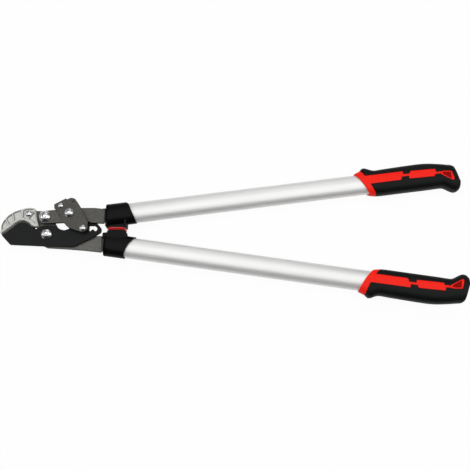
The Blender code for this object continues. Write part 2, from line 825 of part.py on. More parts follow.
def make_spring(frame):
    """A torsion spring of one unbroken wire, its legs hooked into the lever and the link's nose."""
    foot = Vector(SPRING_FOOT) - Vector(LINK_PIVOT)
    nose = Vector(SPRING_HOLE) - Vector(LINK_PIVOT)
    leave = math.acos(SPRING_RADIUS / foot.length)
    first = math.atan2(foot.y, foot.x) + leave
    last = math.atan2(nose.y, nose.x) - math.acos(SPRING_RADIUS / nose.length)
    sweep = (last - first) % (2 * math.pi) + 2 * math.pi * SPRING_TURNS
    low = LINK_BACK_FRONT + SPRING_MARGIN + SPRING_WIRE
    high = low + SPRING_PITCH * sweep / (2 * math.pi)
    count = round(SPRING_STEPS * sweep / (2 * math.pi))
    coil = []
    for step in range(count + 1):
        turn = first + sweep * step / count
        height = high + (low - high) * step / count
        coil.append((
            LINK_PIVOT[0] + SPRING_RADIUS * math.cos(turn),
            LINK_PIVOT[1] + SPRING_RADIUS * math.sin(turn),
            height,
        ))
    gap = least_gap(coil) - 2 * SPRING_WIRE
    print(f"link_spring: least gap between turns {gap * 1000:.2f} mm")
    bend = SPRING_WIRE
    start = [
        (*SPRING_FOOT, LEVER_BACK + LEVER_THICKNESS / 2),
        (*SPRING_FOOT, high + bend),
        (*towards(SPRING_FOOT, coil[0], bend), high),
    ]
    end = [
        (*towards(SPRING_HOLE, coil[-1], bend), low),
        (*SPRING_HOLE, low + bend),
        (*SPRING_HOLE, LINK_FRONT_FACE + SPRING_TAIL),
    ]
    wire = bpy.data.curves.new("link_spring", "CURVE")
    wire.dimensions = "3D"
    wire.bevel_depth = SPRING_WIRE
    wire.bevel_resolution = 1
    wire.use_fill_caps = True
    line = wire.splines.new("POLY")
    route = [*start, *coil, *end]
    line.points.add(len(route) - 1)
    for point, place in zip(line.points, route):
        point.co = (*place, 1.0)
    drawn = bpy.data.objects.new("link_spring", wire)
    CUTTERS.objects.link(drawn)
    bpy.context.view_layer.update()
    graph = bpy.context.evaluated_depsgraph_get()
    mesh = bpy.data.meshes.new_from_object(drawn.evaluated_get(graph))
    bpy.data.objects.remove(drawn)
    shape = bmesh.new()
    shape.from_mesh(mesh)
    bmesh.ops.remove_doubles(shape, verts=shape.verts, dist=MERGE)
    bmesh.ops.recalc_face_normals(shape, faces=shape.faces)
    shape.to_mesh(mesh)
    shape.free()
    as_piece("link_spring", mesh, frame, CHROME)


def oval(half_depth, half_thickness, along, count=28):
    """A tube's section at a distance along the handle."""
    turns = [2 * math.pi * step / count for step in range(count)]
    return [(along, half_depth * math.cos(turn), half_thickness * math.sin(turn)) for turn in turns]


def box_section(low, high, half_thickness, radius, along, per_corner=4):
    """A rounded rectangle across the handle, from its low edge to its high edge."""
    radius = min(radius, 0.94 * half_thickness, 0.47 * (high - low))
    points = []
    for corner, (edge, side) in enumerate(((high, 1), (low, 1), (low, -1), (high, -1))):
        outward_reach = math.copysign(radius, edge - (low + high) / 2)
        middle = (edge - outward_reach, side * (half_thickness - radius))
        for step in range(per_corner + 1):
            turn = math.pi / 2 * (corner + step / per_corner)
            points.append((
                along, middle[0] + radius * math.cos(turn), middle[1] + radius * math.sin(turn)
            ))
    return points


def make_tube(name, frame, cutters):
    depth, thickness = TUBE_HALF_DEPTH, TUBE_HALF_THICKNESS
    rings = [
        oval(depth, thickness, TUBE_FIRST),
        oval(depth, thickness, TUBE_LAST),
        oval(depth - TUBE_WALL, thickness - TUBE_WALL, TUBE_LAST),
        oval(depth - TUBE_WALL, thickness - TUBE_WALL, TUBE_FIRST),
    ]
    tube = as_piece(name, loft(name, rings, hollow=True), frame, ANODISED)
    cut(tube, *cutters)


def make_rivets(name, frame):
    """Both rivets of a tang, flush with the tube, and the cutters for their holes in the tube."""
    cutters = []
    for index, at in enumerate(RIVETS_AT, 1):
        half = TUBE_HALF_THICKNESS - GAP
        shank = circle((at, 0.0), RIVET_RADIUS, SMALL_ROUND)
        hole = circle((at, 0.0), RIVET_RADIUS + GAP, SMALL_ROUND)
        as_piece(f"{name}_{index}", slab(name, [shank], -half, half), frame, STEEL)
        bore = slab("rivet bore", [hole], -2 * half, 2 * half)
        cutters.append(as_cutter(f"{name} bore {index}", bore, frame))
    return cutters


def make_collar(name, frame, side):
    """The shroud where the tang enters the tube. Side is 1 where the outer edge faces +Y, or -1."""
    outer = TUBE_HALF_DEPTH + COLLAR_WALL
    half = TUBE_HALF_THICKNESS + COLLAR_SIDE_WALL
    rings = []
    for share in COLLAR_STATIONS:
        shrink = COLLAR_CHAMFER if share in (0.0, 1.0) else 0.0
        section = box_section(
            shrink - outer, outer - shrink, half - shrink, COLLAR_ROUNDING, 0.0
        )
        row = []
        for _, out, up in section:
            reach = (outer - out) / (2 * outer)
            last = COLLAR_LAST_OUTER + (COLLAR_LAST_INNER - COLLAR_LAST_OUTER) * reach**COLLAR_SWEEP
            row.append((COLLAR_FIRST + (last - COLLAR_FIRST) * share, side * out, up))
        rings.append(row)
    return as_piece(name, loft(name, rings), frame, BLACK_PLASTIC)


def hollow_collar(collar, frame, thickness):
    """The bore for the tube and the slot where the plate enters."""
    bore = loft("bore", [
        oval(TUBE_HALF_DEPTH + GAP, TUBE_HALF_THICKNESS + GAP, TUBE_FIRST - GAP),
        oval(TUBE_HALF_DEPTH + GAP, TUBE_HALF_THICKNESS + GAP, COLLAR_LAST_INNER + OVERRUN),
    ])
    wide, half = TANG_HALF_WIDTH + GAP, thickness / 2 + GAP
    section = [(-wide, -half), (wide, -half), (wide, half), (-wide, half)]
    ends = (COLLAR_FIRST - OVERRUN, TUBE_FIRST + OVERRUN)
    rings = [[(along, y, z) for y, z in section] for along in ends]
    slot = as_cutter(f"{collar.name} slot", loft("slot", rings), frame)
    cut(collar, as_cutter(f"{collar.name} bore", bore, frame), slot)


def make_bumper_block(collar, frame):
    """The block under the upper collar that holds the bumper, with a rib at each end."""
    left, right = BUMPER_MIDDLE - BLOCK_LEFT, BUMPER_MIDDLE + BLOCK_RIGHT
    low, high = BUMPER_TOP + GAP, BUMPER_TOP + BLOCK_RISE
    lean = (BLOCK_LEFT + BLOCK_RIGHT) * math.tan(math.radians(UPPER_SLOPE))
    half = BLOCK_HALF_THICKNESS
    loop = rounded([
        (left, low, BLOCK_CORNER),
        (right, low, BLOCK_CORNER),
        (right, high + lean, 0.0),
        (left, high, 0.0),
    ])
    block = slab("bumper block", [loop], MIDDLE_PLANE - half, MIDDLE_PLANE + half)
    combine(collar, as_cutter("bumper block", block, frame), "UNION")
    recess = rounded([
        (left + BLOCK_RIB, low - OVERRUN, 0.0),
        (right - BLOCK_RIB, low - OVERRUN, 0.0),
        (right - BLOCK_RIB, low + RIB_RECESS_HEIGHT, BLOCK_CORNER),
        (left + BLOCK_RIB, low + RIB_RECESS_HEIGHT, BLOCK_CORNER),
    ])
    floor, past = half - RIB_RECESS_DEPTH, half + 3 * OVERRUN
    for name, back, front in (("front recess", floor, past), ("back recess", -past, -floor)):
        shape = slab(name, [recess], MIDDLE_PLANE + back, MIDDLE_PLANE + front)
        cut(collar, as_cutter(name, shape, frame))
    depth = BUMPER_STEM_LENGTH + OVERRUN + GAP
    socket = stem_mesh("stem socket", BUMPER_STEM_RADIUS + GAP, BUMPER_TOP - OVERRUN, depth)
    cut(collar, as_cutter("stem socket", socket, frame))


def stem_mesh(name, radius, start, length):
    """A round stem along Y, at the bumper's middle."""
    rings = []
    for height in (start, start + length):
        rings.append([
            (x, height, z) for x, z in circle((BUMPER_MIDDLE, MIDDLE_PLANE), radius, SMALL_ROUND)
        ])
    return loft(name, rings)


def make_bumper(frame):
    """A rubber puck with rounded rims and a stem that plugs into the block above it."""
    profile = [
        (BUMPER_BOTTOM, BUMPER_RADIUS - BUMPER_RIM),
        (BUMPER_BOTTOM + BUMPER_RIM, BUMPER_RADIUS),
        (BUMPER_TOP - 1.5 * BUMPER_RIM, BUMPER_RADIUS),
        (BUMPER_TOP, BUMPER_RADIUS - 1.5 * BUMPER_RIM),
        (BUMPER_TOP, BUMPER_STEM_RADIUS),
        (BUMPER_TOP + BUMPER_STEM_LENGTH, BUMPER_STEM_RADIUS),
    ]
    rings = []
    for height, radius in profile:
        rings.append([(x, height, z) for x, z in circle((BUMPER_MIDDLE, MIDDLE_PLANE), radius)])
    as_piece("bumper", loft("bumper", rings), frame, RED_RUBBER)


def add_stop_pad(collar, frame):
    """The pad on the lower collar that the bumper meets."""
    left, right = BUMPER_MIDDLE - PAD_LEFT, BUMPER_MIDDLE + PAD_RIGHT
    high = BUMPER_BOTTOM - GAP
    half = BLOCK_HALF_THICKNESS
    loop = rounded([
        (left, high, PAD_CORNER),
        (left - PAD_FLARE, high - PAD_DROP, 0.0),
        (left - PAD_FLARE, high - PAD_ROOT, 0.0),
        (right + PAD_FLARE, high - PAD_ROOT, 0.0),
        (right + PAD_FLARE, high - PAD_DROP, 0.0),
        (right, high, PAD_CORNER),
    ])
    pad = slab("stop pad", [loop], MIDDLE_PLANE - half, MIDDLE_PLANE + half)
    combine(collar, as_cutter("stop pad", pad, frame), "UNION")


def lip_shear(along):
    """How far a section leans at a distance from the lip."""
    share = min(max(along / LIP_FADE, 0.0), 1.0)
    return LIP_SLANT * (1 - share * share * (3 - 2 * share))


def grip_half_thickness(along):
    distances, shares = zip(*GRIP_THICKNESS)
    return GRIP_HALF_THICKNESS * float(np.interp(along, distances, shares))


def grip_ring(along, inset, side):
    """The grip's section at a distance from the lip, drawn in by an inset."""
    high = edge_at(GRIP_OUTER, along) - inset
    low = edge_at(GRIP_INNER, along) + inset
    half = grip_half_thickness(along) - inset
    corner = max(GRIP_ROUNDING - inset, LEAST_GRIP_CORNER)
    section = box_section(low, high, half, corner, 0.0)
    lean = lip_shear(along)
    return [
        (GRIP_FIRST + along + lean * (GRIP_OUTER[0][1] - out), side * out, up)
        for _, out, up in section
    ]


def inlay_slab(name, frame, side, loop, back, front):
    placed = [(GRIP_FIRST + along, side * out) for along, out in loop]
    return as_cutter(name, slab(name, [placed], back, front), frame)


def make_grip(prefix, frame, side):
    """The red core with its raised inlay, and the black sleeve round it."""
    last = GRIP_STATIONS[-1]
    behind_lip = LIP_WIDTH + GAP
    sleeve_at = [behind_lip, *[at for at in GRIP_STATIONS if at > behind_lip]]
    inner_end = last - 2 * SLEEVE_WALL
    inside_at = [behind_lip, *CORE_STATIONS, inner_end]

    outside = [grip_ring(at, 0.0, side) for at in sleeve_at]
    inside = [grip_ring(at, SLEEVE_WALL, side) for at in inside_at]
    # the sleeve is one skin that turns in at the lip, so its rings run from the end cap inwards
    sleeve = as_piece(
        f"{prefix}_grip_sleeve",
        loft("sleeve", [*outside[::-1], *inside]),
        frame,
        BLACK_RUBBER,
    )
    window = offset(INLAY, GAP)
    thick = GRIP_HALF_THICKNESS + OVERRUN
    cut(sleeve, inlay_slab(f"{prefix} inlay window", frame, side, window, -thick, thick))

    lip = [grip_ring(at, 0.0, side) for at in GRIP_STATIONS if at <= LIP_WIDTH]
    core_inset = SLEEVE_WALL + GAP
    body_at = [LIP_WIDTH, *inside_at[1:-1], inner_end - GAP]
    body = [grip_ring(at, core_inset, side) for at in body_at]
    core = as_piece(f"{prefix}_grip_core", loft("core", [*lip, *body]), frame, RED_PLASTIC)
    inlay = inlay_slab(f"{prefix} inlay", frame, side, INLAY, -thick, thick)
    skin_at = [at for at in GRIP_STATIONS if at >= LIP_WIDTH]
    skin = [grip_ring(at, INLAY_SINK, side) for at in skin_at]
    combine(inlay, as_cutter(f"{prefix} inlay skin", loft("skin", skin), frame), "INTERSECT")
    combine(core, inlay, "UNION")
    face = GRIP_HALF_THICKNESS - INLAY_SINK
    for name, back, front in (
        (f"{prefix} front recess", face - RECESS_DEPTH, thick),
        (f"{prefix} back recess", -thick, RECESS_DEPTH - face),
    ):
        cut(core, inlay_slab(name, frame, side, INLAY_RECESS, back, front))
    bore = loft("tube seat", [
        oval(TUBE_HALF_DEPTH + GAP, TUBE_HALF_THICKNESS + GAP, GRIP_FIRST - OVERRUN),
        oval(TUBE_HALF_DEPTH + GAP, TUBE_HALF_THICKNESS + GAP, TUBE_LAST + GAP),
    ])
    cut(core, as_cutter(f"{prefix} tube seat", bore, frame))


def make_pivot(name, frame, place, head_on):
    """One of the two main pivots: bolt, washer and thin nut behind the carrier."""
    washer_front = -GAP
    nut_front = washer_front - WASHER_THICKNESS - GAP
    bolt(f"{name}_bolt", frame, place, PIVOT_BOLT, head_on + GAP, nut_front - THIN_NUT_HEIGHT)
    ring(
        f"{name}_washer", frame, place, PIVOT_BOLT[0] + GAP, WASHER_RADIUS,
        washer_front - WASHER_THICKNESS, washer_front, STEEL,
    )
    nut(f"{name}_nut", frame, place, PIVOT_BOLT, nut_front)


def seat_on_ground(base):
    """Moves the lopper so that the middle of its underside lies on the origin."""
    bpy.context.view_layer.update()
    graph = bpy.context.evaluated_depsgraph_get()
    lows, highs = [], []
    for piece in PARTS.objects:
        if piece.type != "MESH":
            continue
        evaluated = piece.evaluated_get(graph)
        points = np.array([evaluated.matrix_world @ vert.co for vert in evaluated.data.vertices])
        lows.append(points.min(axis=0))
        highs.append(points.max(axis=0))
    low, high = np.min(lows, axis=0), np.max(highs, axis=0)
    base.location = (-(low[0] + high[0]) / 2, -(low[1] + high[1]) / 2, -low[2])
    print("base at", [round(value, 6) for value in base.location])
    print("size", [round(value, 5) for value in high - low])


def main():
    base = new_empty("lopper", None)
    lever_joint = new_empty("lever_joint", base, (*LEVER_PIVOT, 0.0))
    link_joint = new_empty("link_joint", lever_joint, (
        LINK_PIVOT[0] - LEVER_PIVOT[0], LINK_PIVOT[1] - LEVER_PIVOT[1], 0.0,
    ))
    blade_joint = new_empty("blade_joint", base, (*BLADE_PIVOT, 0.0))
    # pieces are laid out from the blade's pivot, so each joint carries a frame that steps back to it
    lever = new_empty("lever_frame", lever_joint, (-LEVER_PIVOT[0], -LEVER_PIVOT[1], 0.0))
    link = new_empty("link_frame", link_joint, (-LINK_PIVOT[0], -LINK_PIVOT[1], 0.0))
    blade = new_empty("blade_frame", blade_joint, (-BLADE_PIVOT[0], -BLADE_PIVOT[1], 0.0))
    lower = new_empty("lower_handle", base, (*LOWER_START, MIDDLE_PLANE), math.radians(LOWER_SLOPE))
    upper = new_empty("upper_handle", lever, (*UPPER_START, MIDDLE_PLANE), math.radians(UPPER_SLOPE))

    make_carrier(base)
    make_anvil(base)
    screw_seat = ANVIL_FRONT - POCKET_DEPTH
    bolt("anvil_screw", base, ANVIL_SCREW, CASTING_SCREW, screw_seat + GAP, -GAP - THIN_NUT_HEIGHT)
    nut("anvil_nut", base, ANVIL_SCREW, CASTING_SCREW, -GAP)
    shank = circle(BLADE_STOP, STOP_PIN_RADIUS, SMALL_ROUND)
    pin = slab("blade_stop_pin", [shank], 0.0, BLADE_FRONT + STOP_PIN_RISE)
    as_piece("blade_stop_pin", pin, base, CHROME)
    make_pivot("blade_pivot", base, BLADE_PIVOT, BLADE_FRONT)
    make_pivot("lever_pivot", base, LEVER_PIVOT, LEVER_FRONT)
    ring(
        "lever_pivot_spacer", base, LEVER_PIVOT, PIVOT_BOLT[0] + GAP, PIVOT_BOLT[0] + SPACER_WALL,
        BLADE_BACK, BLADE_FRONT, STEEL,
    )
    lower_bores = make_rivets("lower_tang_rivet", lower)
    make_tube("lower_tube", lower, lower_bores)
    collar = make_collar("lower_collar", lower, -1)
    add_stop_pad(collar, base)
    hollow_collar(collar, lower, CARRIER_THICKNESS)
    make_grip("lower", lower, -1)

    make_lever_plate(lever)
    ring(
        "lever_bush", lever, LEVER_PIVOT, PIVOT_BOLT[0] + GAP, PIVOT_BOLT[0] + GAP + BUSH_WALL,
        LEVER_BACK, LEVER_FRONT, BRONZE,
    )
    upper_bores = make_rivets("upper_tang_rivet", upper)
    make_tube("upper_tube", upper, upper_bores)
    collar = make_collar("upper_collar", upper, 1)
    make_bumper_block(collar, lever)
    hollow_collar(collar, upper, LEVER_THICKNESS)
    make_bumper(lever)
    make_grip("upper", upper, 1)
    link_nut_front = LINK_BACK_BACK - GAP
    link_ends = (LINK_FRONT_FACE + GAP, link_nut_front - THIN_NUT_HEIGHT)
    bolt("link_pivot_bolt", lever, LINK_PIVOT, LINK_BOLT, *link_ends)
    ring(
        "link_pivot_spacer", lever, LINK_PIVOT, LINK_BOLT[0] + GAP, LINK_BOLT[0] + SPACER_WALL,
        BLADE_BACK, BLADE_FRONT, STEEL,
    )
    nut("link_pivot_nut", lever, LINK_PIVOT, LINK_BOLT, link_nut_front)

    make_blade(blade)
    ring(
        "blade_bush", blade, BLADE_PIVOT, PIVOT_BOLT[0] + GAP, PIVOT_BOLT[0] + GAP + BUSH_WALL,
        BLADE_BACK, BLADE_FRONT, BRONZE,
    )

    make_link_plate("link_front", link, LINK_FRONT_BACK, LINK_FRONT_FACE)
    make_link_plate("link_back", link, LINK_BACK_BACK, LINK_BACK_FRONT)
    bolt("ratchet_pin", link, RATCHET_PIN, PIN_BOLT, *link_ends)
    nut("ratchet_nut", link, RATCHET_PIN, PIN_BOLT, link_nut_front)
    bolt("stop_screw", link, STOP_SCREW, POST_SCREW, *link_ends)
    ring(
        "stop_spacer", link, STOP_SCREW, POST_SCREW[0] + GAP, POST_SCREW[0] + SPACER_WALL / 2,
        LINK_BACK_FRONT + GAP, LINK_FRONT_BACK - GAP, STEEL,
    )
    nut("stop_nut", link, STOP_SCREW, POST_SCREW, link_nut_front)
    make_spring(link)
    seat_on_ground(base)


clear_scene()
PARTS = new_collection("anvil lopper")
CUTTERS = new_collection("cutters")
STEEL_PLATE = new_material("dark steel plate", (0.090, 0.086, 0.078), 0.45, 0.8)
BLACK_STEEL = new_material("black coated blade", (0.016, 0.017, 0.018), 0.42, 0.3)
CAST = new_material("cast aluminium", (0.70, 0.70, 0.68), 0.42, 0.9)
CHROME = new_material("bright screw", (0.80, 0.80, 0.80), 0.15, 1.0)
STEEL = new_material("zinc plated steel", (0.60, 0.60, 0.58), 0.30, 1.0)
BRONZE = new_material("bronze", (0.50, 0.30, 0.12), 0.35, 1.0)
ANODISED = new_material("anodised tube", (0.78, 0.78, 0.78), 0.32, 0.9)
BLACK_PLASTIC = new_material("black plastic", (0.016, 0.016, 0.016), 0.5, 0.0)
BLACK_RUBBER = new_material("black soft grip", (0.015, 0.016, 0.016), 0.62, 0.0)
RED_PLASTIC = new_material("red plastic", (0.95, 0.030, 0.012), 0.38, 0.0)
RED_RUBBER = new_material("red rubber", (0.60, 0.020, 0.015), 0.55, 0.0)
main()
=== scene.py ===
"""Looks of the anvil lopper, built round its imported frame.

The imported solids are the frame, in metres: X runs from the blade's tip to the grips, Y across the
handles and Z up through the stack of plates. Each sub-assembly is a class that holds its sizes and
builds its own pieces, and each finish is a small class that makes one material. Sizes inside the
head are laid out from the blade's pivot, with heights from the carrier plate's back face, and the
bench moves them to their place in the frame.
"""

from __future__ import annotations

import json
import logging
import math
from dataclasses import dataclass, field
from enum import Enum
from typing import ClassVar

import bmesh
import bpy
import numpy as np
from mathutils import Matrix, Vector
from mathutils.geometry import delaunay_2d_cdt
from numpy.typing import NDArray

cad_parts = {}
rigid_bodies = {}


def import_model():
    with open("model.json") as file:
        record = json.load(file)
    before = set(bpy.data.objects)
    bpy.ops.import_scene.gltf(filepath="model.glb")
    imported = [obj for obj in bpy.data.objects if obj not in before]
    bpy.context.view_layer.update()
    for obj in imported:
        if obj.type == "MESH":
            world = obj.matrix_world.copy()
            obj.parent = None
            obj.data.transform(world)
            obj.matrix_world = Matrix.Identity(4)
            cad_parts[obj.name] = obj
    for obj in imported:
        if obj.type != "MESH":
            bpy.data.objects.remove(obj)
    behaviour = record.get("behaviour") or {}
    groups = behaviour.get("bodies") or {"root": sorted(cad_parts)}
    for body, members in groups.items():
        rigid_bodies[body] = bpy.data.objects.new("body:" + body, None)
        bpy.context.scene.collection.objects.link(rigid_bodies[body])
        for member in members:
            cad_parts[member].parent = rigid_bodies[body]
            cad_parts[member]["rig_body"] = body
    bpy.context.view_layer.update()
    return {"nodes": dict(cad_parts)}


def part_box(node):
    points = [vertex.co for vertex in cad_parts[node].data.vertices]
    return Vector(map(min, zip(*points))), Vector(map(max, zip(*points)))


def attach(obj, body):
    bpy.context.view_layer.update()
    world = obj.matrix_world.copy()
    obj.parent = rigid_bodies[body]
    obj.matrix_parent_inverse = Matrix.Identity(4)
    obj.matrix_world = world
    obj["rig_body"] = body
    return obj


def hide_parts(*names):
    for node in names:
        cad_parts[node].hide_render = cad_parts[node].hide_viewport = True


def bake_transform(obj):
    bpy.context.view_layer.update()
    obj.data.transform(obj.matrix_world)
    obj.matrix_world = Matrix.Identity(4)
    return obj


log = logging.getLogger("lopper")

Array = NDArray[np.float64]
Numbers = NDArray[np.int64]
Corner = tuple[float, float, float]
Point = tuple[float, float]
Shade = tuple[int, int, int]
Colour = tuple[float, float, float, float]
Span = tuple[float, float, float, float]
Piece = bpy.types.Object
Material = bpy.types.Material
Socket = bpy.types.NodeSocket
Tree = bpy.types.NodeTree

GAP = 0.0003
MERGE = 0.000002
SHARP = 35.0
PLATE_SHARP = 30.0
GRIP_MERGE = 0.000001
WHITE = (1.0, 1.0, 1.0, 1.0)
UPPER_SLOPE = 7.35
LOWER_SLOPE = -8.13


class Body(str, Enum):
    """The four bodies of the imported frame."""

    ANVIL_HANDLE = "anvil_handle"
    LEVER_HANDLE = "lever_handle"
    BLADE = "cutting_blade"
    LINK = "ratchet_link"


class Slot(str, Enum):
    """The record's material slots."""

    STEEL_PLATE = "steel_plate"
    CAST_ANVIL = "cast_anvil"
    BRIGHT_SCREW = "bright_screw"
    ZINC_STEEL = "zinc_steel"
    ANODISED_TUBE = "anodised_tube"
    BLACK_PLASTIC = "black_plastic"
    RED_PLASTIC = "red_plastic"
    BLACK_SOFT_GRIP = "black_soft_grip"
    RED_RUBBER = "red_rubber"
    BLACK_BLADE = "black_blade"
    BRONZE_BUSH = "bronze_bush"
    SPRING_WIRE = "spring_wire"


@dataclass(frozen=True)
class Stack:
    """Heights through the plates, from the carrier plate's back face. Each plate lies a gap in front
    of the one behind it, and the middle is that of the blade, the tubes and the anvil."""

    carrier: float = 0.0045
    blade: float = 0.0040
    lever: float = 0.0050
    link: float = 0.0036
    blade_back: float = carrier + GAP
    blade_front: float = blade_back + blade
    lever_back: float = blade_front + GAP
    lever_front: float = lever_back + lever
    link_front_back: float = lever_front + GAP
    link_front_face: float = link_front_back + link
    link_back_back: float = carrier - link
    middle: float = blade_back + blade / 2


STACK = Stack()


@dataclass(frozen=True)
class Screw:
    """A button head socket screw and its nut."""

    shank: float
    head: float
    height: float
    socket: float


PIVOT_SCREW = Screw(0.0050, 0.00875, 0.0052, 0.0034)
LINK_SCREW = Screw(0.0040, 0.0070, 0.0042, 0.0029)
PIN_SCREW = Screw(0.0030, 0.00525, 0.0031, 0.0023)
POST_SCREW = Screw(0.0020, 0.0039, 0.0022, 0.0015)
CASTING_SCREW = Screw(0.0025, 0.00475, 0.0026, 0.0018)

BLADE_PIVOT = (0.0, 0.0)
LEVER_PIVOT = (-0.0028, 0.0264)
LINK_PIVOT = (0.0353, 0.0315)
RATCHET_PIN = (0.0576, 0.0070)
STOP_POST = (0.0217, 0.0430)
SPRING_HOLE = (0.0409, 0.0497)
SPRING_FOOT = (0.0200, 0.0290)
ANVIL_SCREW = (-0.0290, 0.0316)
STOP_PEG = (-0.0168, 0.0088)
PEG_RADIUS = 0.0014


def layout_origin() -> Array:
    """Where shapes are laid out from: the blade's pivot at the stack's lowest plane, as packed."""
    low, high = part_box("blade_pivot_bolt")
    return np.array([(low.x + high.x) / 2, (low.y + high.y) / 2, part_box("carrier_plate")[0].z])


# Curves and outlines


def mm(*rows: tuple[float, ...]) -> tuple:
    """A table's rows in metres, from millimetres."""
    return tuple(tuple(round(value / 1000, 7) for value in row) for row in rows)


def spline(knots: tuple[Point, ...], steps: int) -> Array:
    """A Catmull-Rom curve: each span is the cubic through its two ends, whose slopes are half the
    step between the neighbours on either side.

    Args:
        knots: The points that the curve passes through.
        steps: The number of steps in each span.

    Returns:
        The curve's points, as rows.
    """
    k = np.asarray(knots, float)
    k = np.vstack([2 * k[0] - k[1], k, 2 * k[-1] - k[-2]])
    t = np.linspace(0, 1, steps, endpoint=False)[None, :, None]
    a, b, c, d = (k[i : len(k) - 3 + i, None, :] for i in range(4))
    curve = 0.5 * (
        2 * b + (c - a) * t + (2 * a - 5 * b + 4 * c - d) * t**2 + (3 * b - a - 3 * c + d) * t**3
    )
    return np.vstack([curve.reshape(-1, k.shape[1]), k[-2:-1]])


def run(curve: Array) -> Array:
    """Each point's distance along a curve from its first point."""
    return np.append(0.0, np.cumsum(np.linalg.norm(np.diff(curve, axis=0), axis=1)))


def along(curve: Array, shares: Array) -> Array:
    """Points at shares of a curve's length, straight between the curve's own points."""
    lengths = run(curve)
    return np.stack([np.interp(shares * lengths[-1], lengths, column) for column in curve.T], -1)


def full_turn(count: int) -> Array:
    """Angles of a whole turn in equal steps, without its end."""
    return np.linspace(0, 2 * math.pi, count, endpoint=False)


def quarter_turn(count: int) -> Array:
    """Angles of a quarter turn in equal steps, with both its ends."""
    return np.radians(np.linspace(0, 90, count))


def spokes(turn: Array) -> Array:
    """Unit vectors at these angles: rows of cosine and sine."""
    return np.stack([np.cos(turn), np.sin(turn)], -1)


def circle(middle: Point, radius: float, count: int = 48) -> Array:
    """A counter-clockwise circle: the middle plus the radius times cosine and sine."""
    return np.array(middle) + radius * spokes(full_turn(count))


def arc(middle: Point, radius: float, first: float, last: float, step: float = 6.0) -> list[Corner]:
    """Square corners on a circle: the middle plus the radius times cosine and sine.

    Args:
        middle: The circle's middle.
        radius: Its radius.
        first: The first corner's angle in degrees.
        last: The last corner's angle.
        step: The largest angle between two corners.

    Returns:
        The corners, from the first angle to the last.
    """
    turn = np.radians(np.linspace(first, last, math.ceil(abs(last - first) / step) + 1))
    return [(x, y, 0.0) for x, y in (np.array(middle) + radius * spokes(turn)).tolist()]


def rounded(corners: list[Corner], step: float = 7.5) -> Array:
    """A closed outline whose corners are arcs that touch both of their sides.

    Args:
        corners: Corners as (x, y, radius); a radius of 0 keeps the corner square.
        step: The arcs' step in degrees.

    Returns:
        The outline's points, in the corners' order.
    """
    loop: list[Array] = []
    for index, (x, y, radius) in enumerate(corners):
        here = np.array([x, y])
        before = np.array(corners[index - 1][:2]) - here
        after = np.array(corners[(index + 1) % len(corners)][:2]) - here
        if radius == 0.0:
            loop.append(here[None])
            continue
        reach_before, reach_after = np.linalg.norm(before), np.linalg.norm(after)
        before, after = before / reach_before, after / reach_after
        half = math.acos(np.clip(before @ after, -1, 1)) / 2
        reach = min(radius / math.tan(half), 0.48 * reach_before, 0.48 * reach_after)
        radius = reach * math.tan(half)
        inward = (before + after) / np.linalg.norm(before + after)
        middle = here + inward * radius / math.sin(half)
        start, end = here + before * reach - middle, here + after * reach - middle
        sweep = math.atan2(start[0] * end[1] - start[1] * end[0], start @ end)
        turn = np.linspace(0, sweep, max(2, math.ceil(abs(math.degrees(sweep)) / step) + 1))
        cosine, sine = spokes(turn).T[..., None]
        loop.append(middle + (start * cosine + np.array([-start[1], start[0]]) * sine))
    return np.vstack(loop)


def counter_clockwise(loop: Array) -> Array:
    """The outline in the order that keeps its inside on the left."""
    x, y = loop.T
    area = np.sum(x * np.roll(y, -1) - y * np.roll(x, -1))
    return loop if area > 0 else loop[::-1]


def inset(loop: Array, distance: float) -> Array:
    """Moves an outline to its left: each point goes along the mitre of its two sides' normals, by
    the distance over the cosine of half the angle between them.

    Args:
        loop: The outline's points.
        distance: How far each side moves, negative to the right.

    Returns:
        The moved outline.
    """
    first, second = (
        np.stack([-side[:, 1], side[:, 0]], -1) / np.maximum(np.linalg.norm(side, axis=1), 1e-12)[:, None]
        for side in (loop - np.roll(loop, 1, axis=0), np.roll(loop, -1, axis=0) - loop)
    )
    mitre = first + second
    scale = 2 * distance / np.maximum(np.sum(mitre**2, axis=1), 0.8)
    return loop + mitre * scale[:, None]


def signed_distance(points: Array, loop: Array) -> Array:
    """Distance to an outline, negative inside it: the least distance to any side, with the sign of
    the number of sides that a ray towards +X crosses.

    Args:
        points: The points, as rows of (x, y).
        loop: The outline's points.

    Returns:
        One distance for each point.
    """
    a, b = loop, np.roll(loop, -1, axis=0)
    side, rel = b - a, points[:, None, :] - a[None]
    share = np.clip(np.sum(rel * side, -1) / np.maximum(np.sum(side**2, -1), 1e-18), 0, 1)
    distance = np.linalg.norm(rel - share[..., None] * side, axis=-1).min(axis=1)
    spans = (a[None, :, 1] > points[:, None, 1]) != (b[None, :, 1] > points[:, None, 1])
    rise = np.where(side[:, 1] == 0, 1e-18, side[:, 1])
    crossing = a[None, :, 0] + (points[:, None, 1] - a[None, :, 1]) * side[:, 0] / rise
    inside = np.sum(spans & (crossing > points[:, None, 0]), axis=1) % 2 == 1
    return np.where(inside, -distance, distance)


def smoothstep(value: Array, low: float, high: float) -> Array:
    """0 below low and 1 above high, with the cubic 3t^2 - 2t^3 between them."""
    t = np.clip((value - low) / (high - low), 0, 1)
    return t * t * (3 - 2 * t)


# Meshes


def quads(rows: int, columns: int, wrap_rows: bool = False) -> Numbers:
    """Corner numbers of a grid's quads: each point with its neighbours one row and one column on.

    Args:
        rows: Rows of the grid.
        columns: Columns, whose last joins the first.
        wrap_rows: Whether the last row joins the first too.

    Returns:
        Four numbers for each quad, row by row.
    """
    r, c = np.meshgrid(np.arange(rows if wrap_rows else rows - 1), np.arange(columns), indexing="ij")
    up, on = (r + 1) % rows, (c + 1) % columns
    corners = [r * columns + c, up * columns + c, up * columns + on, r * columns + on]
    return np.stack(corners, -1).reshape(-1, 4)


